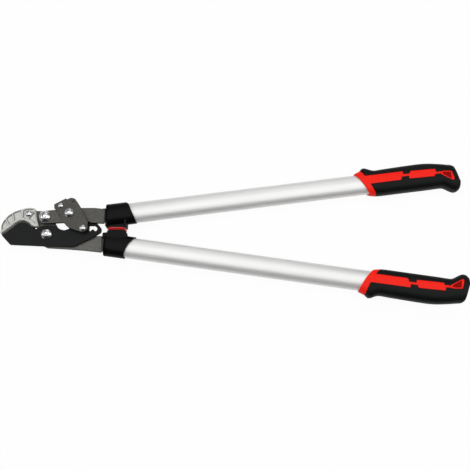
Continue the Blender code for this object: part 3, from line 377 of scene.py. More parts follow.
def linked(name: str, data: bpy.types.ID) -> Piece:
    """A new object that holds the data, linked to the scene."""
    made = bpy.data.objects.new(name, data)
    bpy.context.scene.collection.objects.link(made)
    return made


def new_mesh(name: str, points: Array, faces: list[list[int]] | Numbers) -> Piece:
    """An object with a new mesh.

    Args:
        name: The object's and the mesh's name.
        points: Points of any grid, with the axis last.
        faces: The points' numbers round each face.

    Returns:
        The object.
    """
    mesh = bpy.data.meshes.new(name)
    mesh.from_pydata(points.reshape(-1, 3), [], faces if isinstance(faces, list) else faces.tolist())
    return linked(name, mesh)


def stamp(piece: Piece, key: str, values: Array) -> None:
    """Writes one number for each point of a piece, which its material reads by this key."""
    attribute = piece.data.attributes.new(key, "FLOAT", "POINT")
    attribute.data.foreach_set("value", values.astype(np.float32))


def points_of(piece: Piece) -> Array:
    """The piece's points, as rows."""
    points = np.empty(len(piece.data.vertices) * 3)
    piece.data.vertices.foreach_get("co", points)
    return points.reshape(-1, 3)


def shade(piece: Piece, sharp: float) -> Piece:
    """Shades a piece smooth, with the edges above an angle in degrees kept sharp."""
    piece.data.shade_smooth()
    piece.data.set_sharp_from_angle(angle=math.radians(sharp))
    return piece


def close_up(piece: Piece, sharp: float = SHARP, merge: float = MERGE) -> Piece:
    """Merges doubles, drops collapsed faces, points the faces out and sets smooth shading.

    Args:
        piece: A piece whose mesh is closed once its doubles are merged.
        sharp: The angle in degrees above which an edge stays sharp.
        merge: The distance within which points are merged.

    Returns:
        The same piece.
    """
    shape = bmesh.new()
    shape.from_mesh(piece.data)
    bmesh.ops.remove_doubles(shape, verts=shape.verts, dist=merge)
    bmesh.ops.dissolve_degenerate(shape, edges=shape.edges, dist=merge / 2)
    bmesh.ops.recalc_face_normals(shape, faces=shape.faces)
    shape.to_mesh(piece.data)
    shape.free()
    return shade(piece, sharp)


def shell(name: str, grid: Array, wrap_rows: bool = False, sharp: float = SHARP) -> Piece:
    """A closed piece from rings: the rows run round the piece, and a row of one point is a pole.

    Args:
        name: The piece's name.
        grid: Points as (row, column, axis); first and last rows are poles, or the rows wrap.
        wrap_rows: Whether the last row joins the first.
        sharp: The angle in degrees above which an edge stays sharp.

    Returns:
        The piece.
    """
    rows, columns = grid.shape[:2]
    return close_up(new_mesh(name, grid, quads(rows, columns, wrap_rows)), sharp)


def joined(name: str, pieces: list[Piece]) -> Piece:
    """Puts several closed meshes into one object and removes theirs.

    Args:
        name: The new object's name.
        pieces: The objects that hold the meshes.

    Returns:
        The new object.
    """
    shape = bmesh.new()
    for piece in pieces:
        shape.from_mesh(piece.data)
        bpy.data.objects.remove(piece)
    mesh = bpy.data.meshes.new(name)
    shape.to_mesh(mesh)
    shape.free()
    return shade(linked(name, mesh), SHARP)


def applied(piece: Piece) -> Piece:
    """Turns a piece's modifiers into its own mesh.

    Args:
        piece: The piece.

    Returns:
        The same piece.
    """
    bpy.context.view_layer.update()
    evaluated = piece.evaluated_get(bpy.context.evaluated_depsgraph_get())
    mesh = bpy.data.meshes.new_from_object(evaluated)
    piece.modifiers.clear()
    piece.data = mesh
    return piece


def carve(piece: Piece, cutter: Piece) -> Piece:
    """Cuts a closed mesh out of a piece.

    Args:
        piece: The piece.
        cutter: The mesh that is cut out, which is removed after.

    Returns:
        The same piece.
    """
    change = piece.modifiers.new("carve", "BOOLEAN")
    change.operation = "DIFFERENCE"
    change.solver = "EXACT"
    change.object = cutter
    applied(piece)
    bpy.data.objects.remove(cutter)
    return close_up(piece)


def mirrored(half: Array, total: float) -> Array:
    """A profile's half, then its mirror image, whose heights are the total less the half's."""
    return np.vstack([half, half[::-1] * [1, -1] + [0, total]])


def edge_profile(back: float, front: float, radius: float, steps: int = 4) -> Array:
    """Half sections of a plate's rim: a quarter circle at each face, and a flat band inside each of
    them so that the face shades flat.

    Args:
        back: Height of the back face.
        front: Height of the front face.
        radius: Radius of the quarter circles.
        steps: Steps in each of them.

    Returns:
        Rows of (inset, height), from the back face to the front face.
    """
    turn = quarter_turn(steps + 1)
    corner = np.stack([radius * (1 - np.sin(turn)), back + radius * (1 - np.cos(turn))], -1)
    return mirrored(np.vstack([[[1.5 * radius, back]], corner]), back + front)


def rim(loop: Array, profile: Array) -> Array:
    """Rings of a rim: the outline moved in by each inset of the profile, at its height."""
    return np.stack([np.column_stack([inset(loop, depth), np.full(len(loop), z)]) for depth, z in profile])


def caps(loops: list[Array]) -> Numbers:
    """Triangles that fill the first outline round the others, by constrained Delaunay.

    Args:
        loops: The outer outline, then those of the holes.

    Returns:
        Three numbers for each triangle, counted through all the outlines' points.
    """
    points = np.vstack(loops)
    edges, start = [], 0
    for loop in loops:
        numbers = start + np.arange(len(loop))
        edges += np.stack([numbers, np.roll(numbers, -1)], -1).tolist()
        start += len(loop)
    found = delaunay_2d_cdt(points.tolist(), edges, [], 1, 1e-9)
    owner = np.array([origin[0] for origin in found[3]])
    triangles = owner[np.array(found[2])]
    middles = points[triangles].mean(axis=1)
    inside_hole = [signed_distance(middles, hole) <= 0 for hole in loops[1:]]
    return triangles[~np.any(inside_hole, axis=0)] if inside_hole else triangles


def plate(
    name: str, outline: Array, holes: list[Array], back: float, front: float, radius: float = 0.0004,
    ground: Array | None = None, share: Array | None = None,
) -> Piece:
    """A flat plate with rounded edges: each outline is repeated at the insets and heights of its rim,
    and triangles fill the two faces between them.

    Args:
        name: The piece's name.
        outline: The outer outline.
        holes: The outlines of the holes.
        back: Height of the back face.
        front: Height of the front face.
        radius: Radius of the edges.
        ground: Rows of (inset, height) of a ground rim, in place of the outer rounded one.
        share: For each outer point, the share of the ground rim that it takes.

    Returns:
        The plate, whose points carry an edge mark, 1 on its rims, and a ground mark, 1 on its ground
        rim.
    """
    loops = [counter_clockwise(outline), *[counter_clockwise(hole)[::-1] for hole in holes]]
    rims = [rim(loop, edge_profile(back, front, radius)) for loop in loops]
    edge_marks = [np.ones(rings.shape[:2]) for rings in rims]
    ground_marks = [np.zeros(rings.shape[:2]) for rings in rims]
    if ground is not None and share is not None:
        rims[0] = rims[0] + (rim(loops[0], ground) - rims[0]) * share[None, :, None]
        ground_marks[0][1:-1] = share > 0.3
    faces, first_ring, last_ring, start = [], [], [], 0
    for rings, mark in zip(rims, edge_marks):
        rows, columns = rings.shape[:2]
        mark[[0, 1, -2, -1]] = 0.0
        faces += (quads(rows, columns) + start).tolist()
        first_ring.append(start + np.arange(columns))
        start += rows * columns
        last_ring.append(start - columns + np.arange(columns))
    fill = caps([rings[0][:, :2] for rings in rims])
    faces += np.concatenate(first_ring)[fill[:, ::-1]].tolist()
    faces += np.concatenate(last_ring)[fill].tolist()
    made = new_mesh(name, np.vstack([rings.reshape(-1, 3) for rings in rims]), faces)
    for key, marks in (("edge", edge_marks), ("ground", ground_marks)):
        stamp(made, key, np.concatenate([mark.ravel() for mark in marks]))
    return close_up(made, PLATE_SHARP)


def bent(piece: Piece, first: float, last: float, rise: float, cuts: int = 5) -> Piece:
    """Steps a plate to another height: a point's height grows by the rise times the smooth share of
    its way from the first to the last line across X.

    Args:
        piece: The plate.
        first: X of the line where the step starts.
        last: X of the line where it ends.
        rise: The step's height.
        cuts: Lines across the step at which the faces are cut.

    Returns:
        The same piece.
    """
    shape = bmesh.new()
    shape.from_mesh(piece.data)
    for x in np.linspace(first, last, cuts):
        everything = [*shape.verts, *shape.edges, *shape.faces]
        bmesh.ops.bisect_plane(shape, geom=everything, dist=MERGE, plane_co=(x, 0, 0), plane_no=(1, 0, 0))
    shape.to_mesh(piece.data)
    shape.free()
    points = points_of(piece)
    points[:, 2] += rise * smoothstep(points[:, 0], first, last)
    piece.data.vertices.foreach_set("co", points.ravel())
    piece.data.update()
    return shade(piece, PLATE_SHARP)


def revolved(profile: Array, sides: Array, columns: int) -> Array:
    """Rings round the Z axis: each row's radius is its own, or where its share of sides is 1, that of
    a hexagon with that corner radius.

    Args:
        profile: Rows of (radius, height).
        sides: For each row, 0 for a circle and 1 for a hexagon.
        columns: Points in each ring, a multiple of 6.

    Returns:
        A grid of points as (row, column, axis).
    """
    turn, sixth = full_turn(columns), math.pi / 3
    hexagon = math.cos(sixth / 2) / np.cos(turn % sixth - sixth / 2)
    radius = profile[:, :1] * (1 + sides[:, None] * (hexagon[None] - 1))
    height = np.broadcast_to(profile[:, 1:], radius.shape)
    return np.concatenate([radius[..., None] * spokes(turn), height[..., None]], -1)


def tube_along(path: Array, radius: float, columns: int = 14) -> Array:
    """Rings along a path: each ring lies across the path's direction, turned as little as can be from
    the one before it, and the two ends close on the path.

    Args:
        path: The path's points, as rows.
        radius: The rings' radius.
        columns: Points in each ring.

    Returns:
        A grid of points as (row, column, axis).
    """
    step = np.gradient(path, axis=0)
    tangent = step / np.linalg.norm(step, axis=1)[:, None]
    across = np.cross(tangent, [0.0, 0.0, 1.0])
    flat = np.linalg.norm(across, axis=1) < 0.2
    across[flat] = np.cross(tangent[flat], [1.0, 0.0, 0.0])
    across /= np.linalg.norm(across, axis=1)[:, None]
    for row in range(1, len(path)):
        carried = across[row - 1] - tangent[row] * (across[row - 1] @ tangent[row])
        across[row] = carried / np.linalg.norm(carried)
    turn = full_turn(columns)[None, :, None]
    sweep = across[:, None] * np.cos(turn) + np.cross(tangent, across)[:, None] * np.sin(turn)
    first, last = np.repeat(path[:1], columns, 0), np.repeat(path[-1:], columns, 0)
    return np.concatenate([first[None], path[:, None] + radius * sweep, last[None]])


# Finishes


class Wiring:
    """Adds nodes to one tree and joins them."""

    def __init__(self, tree: Tree) -> None:
        """Keeps the tree that the nodes go into."""
        self.tree = tree

    def join(self, socket: Socket, value: object) -> None:
        """Fills an input.

        Args:
            socket: The input.
            value: Another node's output, which is linked to it, or a plain value.
        """
        if isinstance(value, Socket):
            self.tree.links.new(value, socket)
        else:
            socket.default_value = value

    def add(self, kind: str, settings: dict[str, object] | None = None, **inputs: object) -> bpy.types.Node:
        """Adds a node.

        Args:
            kind: The node's Blender type.
            settings: Properties of the node itself.
            inputs: Values or sockets for its inputs, with _ for a space in an input's name, or input
                and a number for the input of that number.

        Returns:
            The node.
        """
        node = self.tree.nodes.new(kind)
        for name, value in (settings or {}).items():
            setattr(node, name, value)
        for name, value in inputs.items():
            key = name.replace("_", " ")
            self.join(node.inputs[int(key[5:]) if key.startswith("input") else key], value)
        return node

    def out(self, kind: str, settings: dict[str, object] | None = None, **inputs: object) -> Socket:
        """Adds a node and returns its first output."""
        return self.add(kind, settings, **inputs).outputs[0]

    def math(self, operation: str, first: object, second: object = 0.0) -> Socket:
        """One step of arithmetic on two values."""
        return self.out("ShaderNodeMath", {"operation": operation}, input0=first, input1=second)

    def mul(self, first: object, second: object) -> Socket:
        """The product of two values."""
        return self.math("MULTIPLY", first, second)

    def plus(self, first: object, second: object) -> Socket:
        """The sum of two values."""
        return self.math("ADD", first, second)

    def moved(
        self, value: Socket, low: object, high: object, first: float = 0.0, last: float = 1.0
    ) -> Socket:
        """A value moved so that its run from first to last goes from low to high, and ends there."""
        span = {"From_Min": first, "From_Max": last, "To_Min": low, "To_Max": high}
        return self.out("ShaderNodeMapRange", Value=value, **span)

    def blended(self, share: Socket, first: object, second: object) -> Socket:
        """The first colour at share 0 and the second at 1."""
        node = self.add("ShaderNodeMix", {"data_type": "RGBA"}, input0=share, input6=first, input7=second)
        return node.outputs[2]

    def mark(self, name: str) -> Socket:
        """The number that a piece's points carry under this name, or 0."""
        return self.add("ShaderNodeAttribute", {"attribute_name": name}).outputs["Fac"]

    def group(self, tree: Tree, place: Socket, **values: object) -> Socket:
        """The output of a shared group at a place."""
        return self.out("ShaderNodeGroup", {"node_tree": tree}, Vector=place, **values)


def emptied(owner: Material | bpy.types.World) -> Wiring:
    """The wiring for a material's or a world's tree, once it is cleared."""
    owner.use_nodes = True
    owner.node_tree.nodes.clear()
    return Wiring(owner.node_tree)


def new_group(name: str, values: dict[str, float], output: str) -> tuple[Wiring, bpy.types.NodeOutputs]:
    """An empty node group with a Vector input, float inputs and one float output.

    Args:
        name: The group's name.
        values: The float inputs' names and defaults.
        output: The output's name.

    Returns:
        The wiring for its tree, and the sockets that bring its inputs.
    """
    tree = bpy.data.node_groups.new(name, "ShaderNodeTree")
    tree.interface.new_socket("Vector", in_out="INPUT", socket_type="NodeSocketVector")
    for key, value in values.items():
        socket = tree.interface.new_socket(key, in_out="INPUT", socket_type="NodeSocketFloat")
        socket.default_value = value
    tree.interface.new_socket(output, in_out="OUTPUT", socket_type="NodeSocketFloat")
    wire = Wiring(tree)
    return wire, wire.add("NodeGroupInput").outputs


class Patterns:
    """The node groups that the finishes share, each built once."""

    def __init__(self) -> None:
        """Builds the groups."""
        self.grain = self._noise("grain", 800.0, False, 5.0, 0.6)
        self.streaks = self._noise("streaks", 900.0, True, 3.0, 0.55)
        self.wear = self._wear()
        self.specks = self._specks()

    @staticmethod
    def _noise(name: str, scale: float, drawn: bool, detail: float, roughness: float) -> Tree:
        """Fractal noise with a contrast: about 0.5, spread towards 0 and 1.

        Args:
            name: The group's name.
            scale: Its usual scale.
            drawn: Whether a Stretch input draws it out along X, for brushing, grinding and tube.
            detail: The noise's detail.
            roughness: The noise's roughness.

        Returns:
            The group's tree.
        """
        values = {"Scale": scale, "Stretch": 30.0, "Contrast": 1.0}
        if not drawn:
            del values["Stretch"]
        wire, inside = new_group(name, values, "Value")
        place = inside["Vector"]
        if drawn:
            drawn_out = wire.math("DIVIDE", 1.0, inside["Stretch"])
            squeeze = wire.out("ShaderNodeCombineXYZ", X=drawn_out, Y=1.0, Z=1.0)
            product = {"operation": "MULTIPLY"}
            place = wire.out("ShaderNodeVectorMath", product, input0=place, input1=squeeze)
        noise = wire.out(
            "ShaderNodeTexNoise", Vector=place, Scale=inside["Scale"], Detail=detail, Roughness=roughness
        )
        spread = wire.mul(wire.plus(noise, -0.5), wire.mul(inside["Contrast"], 2.5))
        wire.add("NodeGroupOutput", Value=wire.out("ShaderNodeClamp", Value=wire.plus(spread, 0.5)))
        return wire.tree

    @staticmethod
    def _wear() -> Tree:
        """Where an edge is rubbed: the edge mark times patchy noise above a threshold that falls with
        the amount.

        Returns:
            The group's tree.
        """
        wire, inside = new_group("edge wear", {"Edge": 0.0, "Scale": 260.0, "Amount": 0.5}, "Mask")
        noise = wire.out(
            "ShaderNodeTexNoise", Vector=inside["Vector"], Scale=inside["Scale"], Detail=4.0, Roughness=0.65
        )
        threshold = wire.math("SUBTRACT", 0.75, wire.mul(inside["Amount"], 0.5))
        above = wire.mul(wire.math("SUBTRACT", noise, threshold), 7.0)
        patches = wire.out("ShaderNodeClamp", Value=above)
        wire.add("NodeGroupOutput", Mask=wire.mul(patches, inside["Edge"]))
        return wire.tree

    @staticmethod
    def _specks() -> Tree:
        """Small round dimples of a moulded texture: a cell's distance from its middle.

        Returns:
            The group's tree.
        """
        wire, inside = new_group("specks", {"Scale": 1500.0, "Contrast": 1.0}, "Value")
        cells = wire.out("ShaderNodeTexVoronoi", Vector=inside["Vector"], Scale=inside["Scale"])
        spread = wire.mul(cells, inside["Contrast"])
        wire.add("NodeGroupOutput", Value=wire.out("ShaderNodeClamp", Value=spread))
        return wire.tree


def linear(shade: Shade) -> Colour:
    """The scene-linear colour of an 8-bit screen shade, by the sRGB curve."""
    values = np.array(shade) / 255
    out = np.where(values <= 0.04045, values / 12.92, ((values + 0.055) / 1.055) ** 2.4)
    return (*out.tolist(), 1.0)


@dataclass
class Surface:
    """A material under way: its tree, the shared groups, and its colour and roughness so far."""

    wire: Wiring
    patterns: Patterns
    place: Socket
    colour: object = None
    roughness: object = None

    def tint(self, share: Socket, shade: Shade) -> None:
        """Lays a shade over the colour so far, as far as the share says."""
        self.colour = self.wire.blended(share, self.colour, linear(shade))


@dataclass(frozen=True)
class Finish:
    """A surface with two shades, a fine grain that is also its bump, and uneven gloss.

    The grain has a scale per metre, a contrast that spreads it between the dark shade in its hollows
    and the light one, and a bump depth in metres. The roughness moves between the two values of the
    gloss in patches of their own scale, and specular is the shader's Specular IOR Level.
    """

    name: str
    slot: Slot
    light: Shade
    dark: Shade
    metallic: float
    gloss: Point
    grain: float
    contrast: float = 1.0
    bump: float = 0.00002
    patch: float = 60.0
    specular: float = 0.5

    def build(self, patterns: Patterns) -> Material:
        """Makes the material.

        Args:
            patterns: The shared groups.

        Returns:
            The material.
        """
        made = bpy.data.materials.new(self.name)
        wire = emptied(made)
        on = Surface(wire, patterns, wire.add("ShaderNodeTexCoord").outputs["Object"])
        grain = self.pattern(on)
        patch = wire.group(patterns.grain, on.place, Scale=self.patch, Contrast=0.8)
        on.colour = wire.blended(grain, linear(self.dark), linear(self.light))
        on.roughness = wire.moved(patch, *self.gloss)
        self.work(on)
        shader = wire.out(
            "ShaderNodeBsdfPrincipled",
            Base_Color=on.colour,
            Roughness=on.roughness,
            Normal=wire.out("ShaderNodeBump", Strength=1.0, Distance=self.bump, Height=grain),
            Metallic=self.metallic,
            Specular_IOR_Level=self.specular,
        )
        wire.add("ShaderNodeOutputMaterial", Surface=shader)
        return made

    def pattern(self, on: Surface) -> Socket:
        """The grain, from 0 in its hollows to 1 on its crests."""
        return on.wire.group(on.patterns.grain, on.place, Scale=self.grain, Contrast=self.contrast)

    def work(self, on: Surface) -> None:
        """Wears, grinds or shades the surface, which a plain finish doesn't."""


@dataclass(frozen=True)
class Drawn(Finish):
    """A finish with fine streaks along one direction, such as drawn tube."""

    turn: float = 0.0
    stretch: float = 120.0

    def pattern(self, on: Surface) -> Socket:
        """Streaks along X after the pattern is turned back by the direction's angle.

        Args:
            on: The material under way.

        Returns:
            The streaks, from 0 to 1.
        """
        back = (0.0, 0.0, -math.radians(self.turn))
        turned = on.wire.out("ShaderNodeMapping", Vector=on.place, Rotation=back)
        values = {"Scale": self.grain, "Stretch": self.stretch, "Contrast": self.contrast}
        return on.wire.group(on.patterns.streaks, turned, **values)


@dataclass(frozen=True)
class Plated(Finish):
    """Stamped plate: painted shade on its cut edges and side walls, rubbed here and there along them."""

    # cut: a painted shade that darkens every rim and side wall as if in shadow
    cut: Shade = (22, 22, 21)
    worn: Shade = (112, 110, 104)
    amount: float = 0.25

    def work(self, on: Surface) -> None:
        """The painted shade, cut, on the edges, and the worn one where they meet the wear's noise."""
        edge = on.wire.mark("edge")
        # painted shade on the rims and side walls
        on.tint(edge, self.cut)
        on.tint(on.wire.group(on.patterns.wear, on.place, Edge=edge, Amount=self.amount), self.worn)


@dataclass(frozen=True)
class Recessed(Finish):
    """A surface with recesses: its own shade on their floors, and a painted shade along their walls."""

    floor: Shade = (204, 205, 201)
    # wall: a painted shade where the recess walls lie in shade
    wall: Shade = (126, 126, 122)

    def work(self, on: Surface) -> None:
        """The floor's own shade and the wall's painted shade, where the points' marks are 1."""
        on.tint(on.wire.mul(on.wire.mark("floor"), 0.75), self.floor)
        # painted shade along the recess walls
        on.tint(on.wire.mark("wall"), self.wall)


@dataclass(frozen=True)
class Coated(Plated):
    """Black coated blade, ground to bare steel where its ground mark is 1."""

    steel: Shade = (104, 104, 102)

    def work(self, on: Surface) -> None:
        """Bare steel with the grinding's fine lines across the edge, over the rubbed coat.

        Args:
            on: The material under way.
        """
        super().work(on)
        lines = on.wire.group(on.patterns.streaks, on.place, Scale=700.0, Stretch=0.08, Contrast=1.0)
        crest = linear(self.steel)
        steel = on.wire.blended(lines, (*[value * 0.7 for value in crest[:3]], 1.0), crest)
        on.colour = on.wire.blended(on.wire.mark("ground"), on.colour, steel)


@dataclass(frozen=True)
class Moulded(Finish):
    """Moulded plastic or rubber with a fine eroded texture."""

    def pattern(self, on: Surface) -> Socket:
        """Small round dimples, with a little of the soft grain in them."""
        specks = on.wire.group(on.patterns.specks, on.place, Scale=self.grain, Contrast=self.contrast)
        soft = on.wire.group(on.patterns.grain, on.place, Scale=self.grain / 3, Contrast=1.0)
        return on.wire.plus(on.wire.mul(specks, 0.6), on.wire.mul(soft, 0.4))


@dataclass(frozen=True)
class Shaded(Moulded, Recessed):
    """Moulded rubber with painted shade: dark and dull where its wall mark is 1."""

    def work(self, on: Surface) -> None:
        """The wall's painted shade where its mark is 1, with its gloss gone."""
        super().work(on)
        on.roughness = on.wire.moved(on.wire.mark("wall"), on.roughness, 1.0)


def dark_steel(plate_name: str, light: int, dark: int) -> Plated:
    """The stamped plates' finish.

    Args:
        plate_name: The plate that it is for.
        light: The lighter grey, of 255.
        dark: The darker grey.

    Returns:
        The finish.
    """
    # the plates keep Plated's default cut, a painted shade on their rims and side walls
    return Plated(
        f"dark steel {plate_name}", Slot.STEEL_PLATE, (light, light - 1, light - 5),
        (dark, dark - 1, dark - 4), 0.6, (0.36, 0.50), grain=300.0, patch=90.0, specular=0.3,
    )


def anodised(tube_name: str, slope: float) -> Drawn:
    """A tube's finish.

    Args:
        tube_name: The tube that it is for.
        slope: The tube's slope in degrees, which its streaks follow.

    Returns:
        The finish.
    """
    return Drawn(
        f"anodised {tube_name} tube", Slot.ANODISED_TUBE, (234, 234, 232), (223, 224, 223), 0.5,
        (0.36, 0.44), grain=700.0, contrast=0.5, bump=0.000006, patch=14.0, specular=0.4, turn=slope,
    )


class Look(Enum):
    """Every finish of the lopper: at least one for each slot, and a few for special faces."""

    CARRIER = dark_steel("carrier", 101, 80)
    LEVER = dark_steel("lever", 88, 70)
    LINK = dark_steel("link", 80, 62)
    UPPER_TUBE = anodised("upper", UPPER_SLOPE)
    LOWER_TUBE = anodised("lower", LOWER_SLOPE)
    # the default wall colour paints shade along the foot of the pocket walls
    ANVIL = Recessed(
        "cast anvil", Slot.CAST_ANVIL, (208, 208, 204), (186, 186, 182), 0.15, (0.42, 0.55),
        grain=1400.0, contrast=0.8, bump=0.00005, patch=160.0, specular=0.3,
    )
    # wall: painted shade inside the hexagon socket
    SCREW = Recessed(
        "bright screw", Slot.BRIGHT_SCREW, (226, 226, 226), (210, 210, 212), 1.0, (0.07, 0.14),
        grain=500.0, contrast=0.4, bump=0.000002, patch=200.0, wall=(66, 66, 67),
    )
    ZINC = Finish(
        "zinc plated steel", Slot.ZINC_STEEL, (200, 200, 198), (176, 177, 178), 1.0, (0.22, 0.36),
        grain=600.0, contrast=0.7, bump=0.000008, patch=180.0,
    )
    BLACK_PLASTIC = Moulded(
        "black moulded plastic", Slot.BLACK_PLASTIC, (10, 10, 11), (5, 5, 6), 0.0, (0.28, 0.36),
        grain=1500.0, contrast=1.2, bump=0.00003, patch=70.0, specular=0.09,
    )
    SOFT_GRIP = Moulded(
        "black soft grip", Slot.BLACK_SOFT_GRIP, (10, 12, 12), (5, 7, 7), 0.0, (0.42, 0.52),
        grain=1300.0, contrast=1.2, bump=0.00004, specular=0.14,
    )
    RED_PLASTIC = Moulded(
        "red hard plastic", Slot.RED_PLASTIC, (255, 36, 20), (250, 30, 16), 0.0, (0.34, 0.44),
        grain=900.0, bump=0.000012, patch=50.0, specular=0.12,
    )
    # a darker copy of the red plastic: painted shade in the grip's recess
    RED_RECESS = Moulded(
        "dark red recess", Slot.RED_PLASTIC, (160, 12, 12), (104, 6, 6), 0.0, (0.45, 0.60),
        grain=500.0, contrast=1.3, bump=0.00006, patch=200.0, specular=0.04,
    )
    # wall: painted shade on the bumper above and below its lit band
    RED_RUBBER = Shaded(
        "red rubber", Slot.RED_RUBBER, (232, 12, 8), (212, 8, 6), 0.0, (0.14, 0.20),
        grain=1000.0, bump=0.00001, patch=120.0, specular=1.0, wall=(26, 2, 2),
    )
    # cut: painted shade on the blade's rims and side walls
    BLADE = Coated(
        "black coated blade", Slot.BLACK_BLADE, (25, 26, 27), (17, 18, 19), 0.0, (0.30, 0.44),
        grain=300.0, contrast=0.9, bump=0.00001, patch=50.0, specular=0.11,
        cut=(10, 10, 11), worn=(48, 48, 47),
    )
    BRONZE = Finish(
        "bronze bush", Slot.BRONZE_BUSH, (176, 128, 72), (150, 106, 58), 1.0, (0.30, 0.42),
        grain=900.0,
    )
    SPRING = Finish(
        "spring wire", Slot.SPRING_WIRE, (130, 130, 130), (110, 110, 112), 1.0, (0.18, 0.28),
        grain=1400.0, bump=0.000004,
    )


# Pieces


@dataclass
class Bench:
    """What every sub-assembly works with."""

    origin: Array
    materials: dict[Look, Material]
    nodes: dict[str, Piece]
    made: list[str] = field(default_factory=list)

    def fit(self, piece: Piece, body: Body, looks: Look | list[Look], *stands_for: str) -> Piece:
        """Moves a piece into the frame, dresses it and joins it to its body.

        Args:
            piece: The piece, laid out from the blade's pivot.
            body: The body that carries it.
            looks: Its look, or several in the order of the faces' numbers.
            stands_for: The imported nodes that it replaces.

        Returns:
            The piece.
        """
        looks = looks if isinstance(looks, list) else [looks]
        piece.data.transform(Matrix.Translation(Vector(self.origin.tolist())))
        for look in looks:
            piece.data.materials.append(self.materials[look])
        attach(piece, body.value)
        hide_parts(*stands_for)
        self.made.append(piece.name)
        log.info("%s rides on %s", piece.name, body.value)
        return piece

    def dress(self, look: Look, *names: str) -> None:
        """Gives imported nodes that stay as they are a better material.

        Args:
            look: The nodes' look.
            names: The nodes' names.
        """
        for name in names:
            node = self.nodes[name]
            node.data.materials.clear()
            node.data.materials.append(self.materials[look])


@dataclass(frozen=True)
class Spot:
    """A fastener's name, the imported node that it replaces, its body and its place."""

    name: str
    node: str
    body: Body
    at: Point


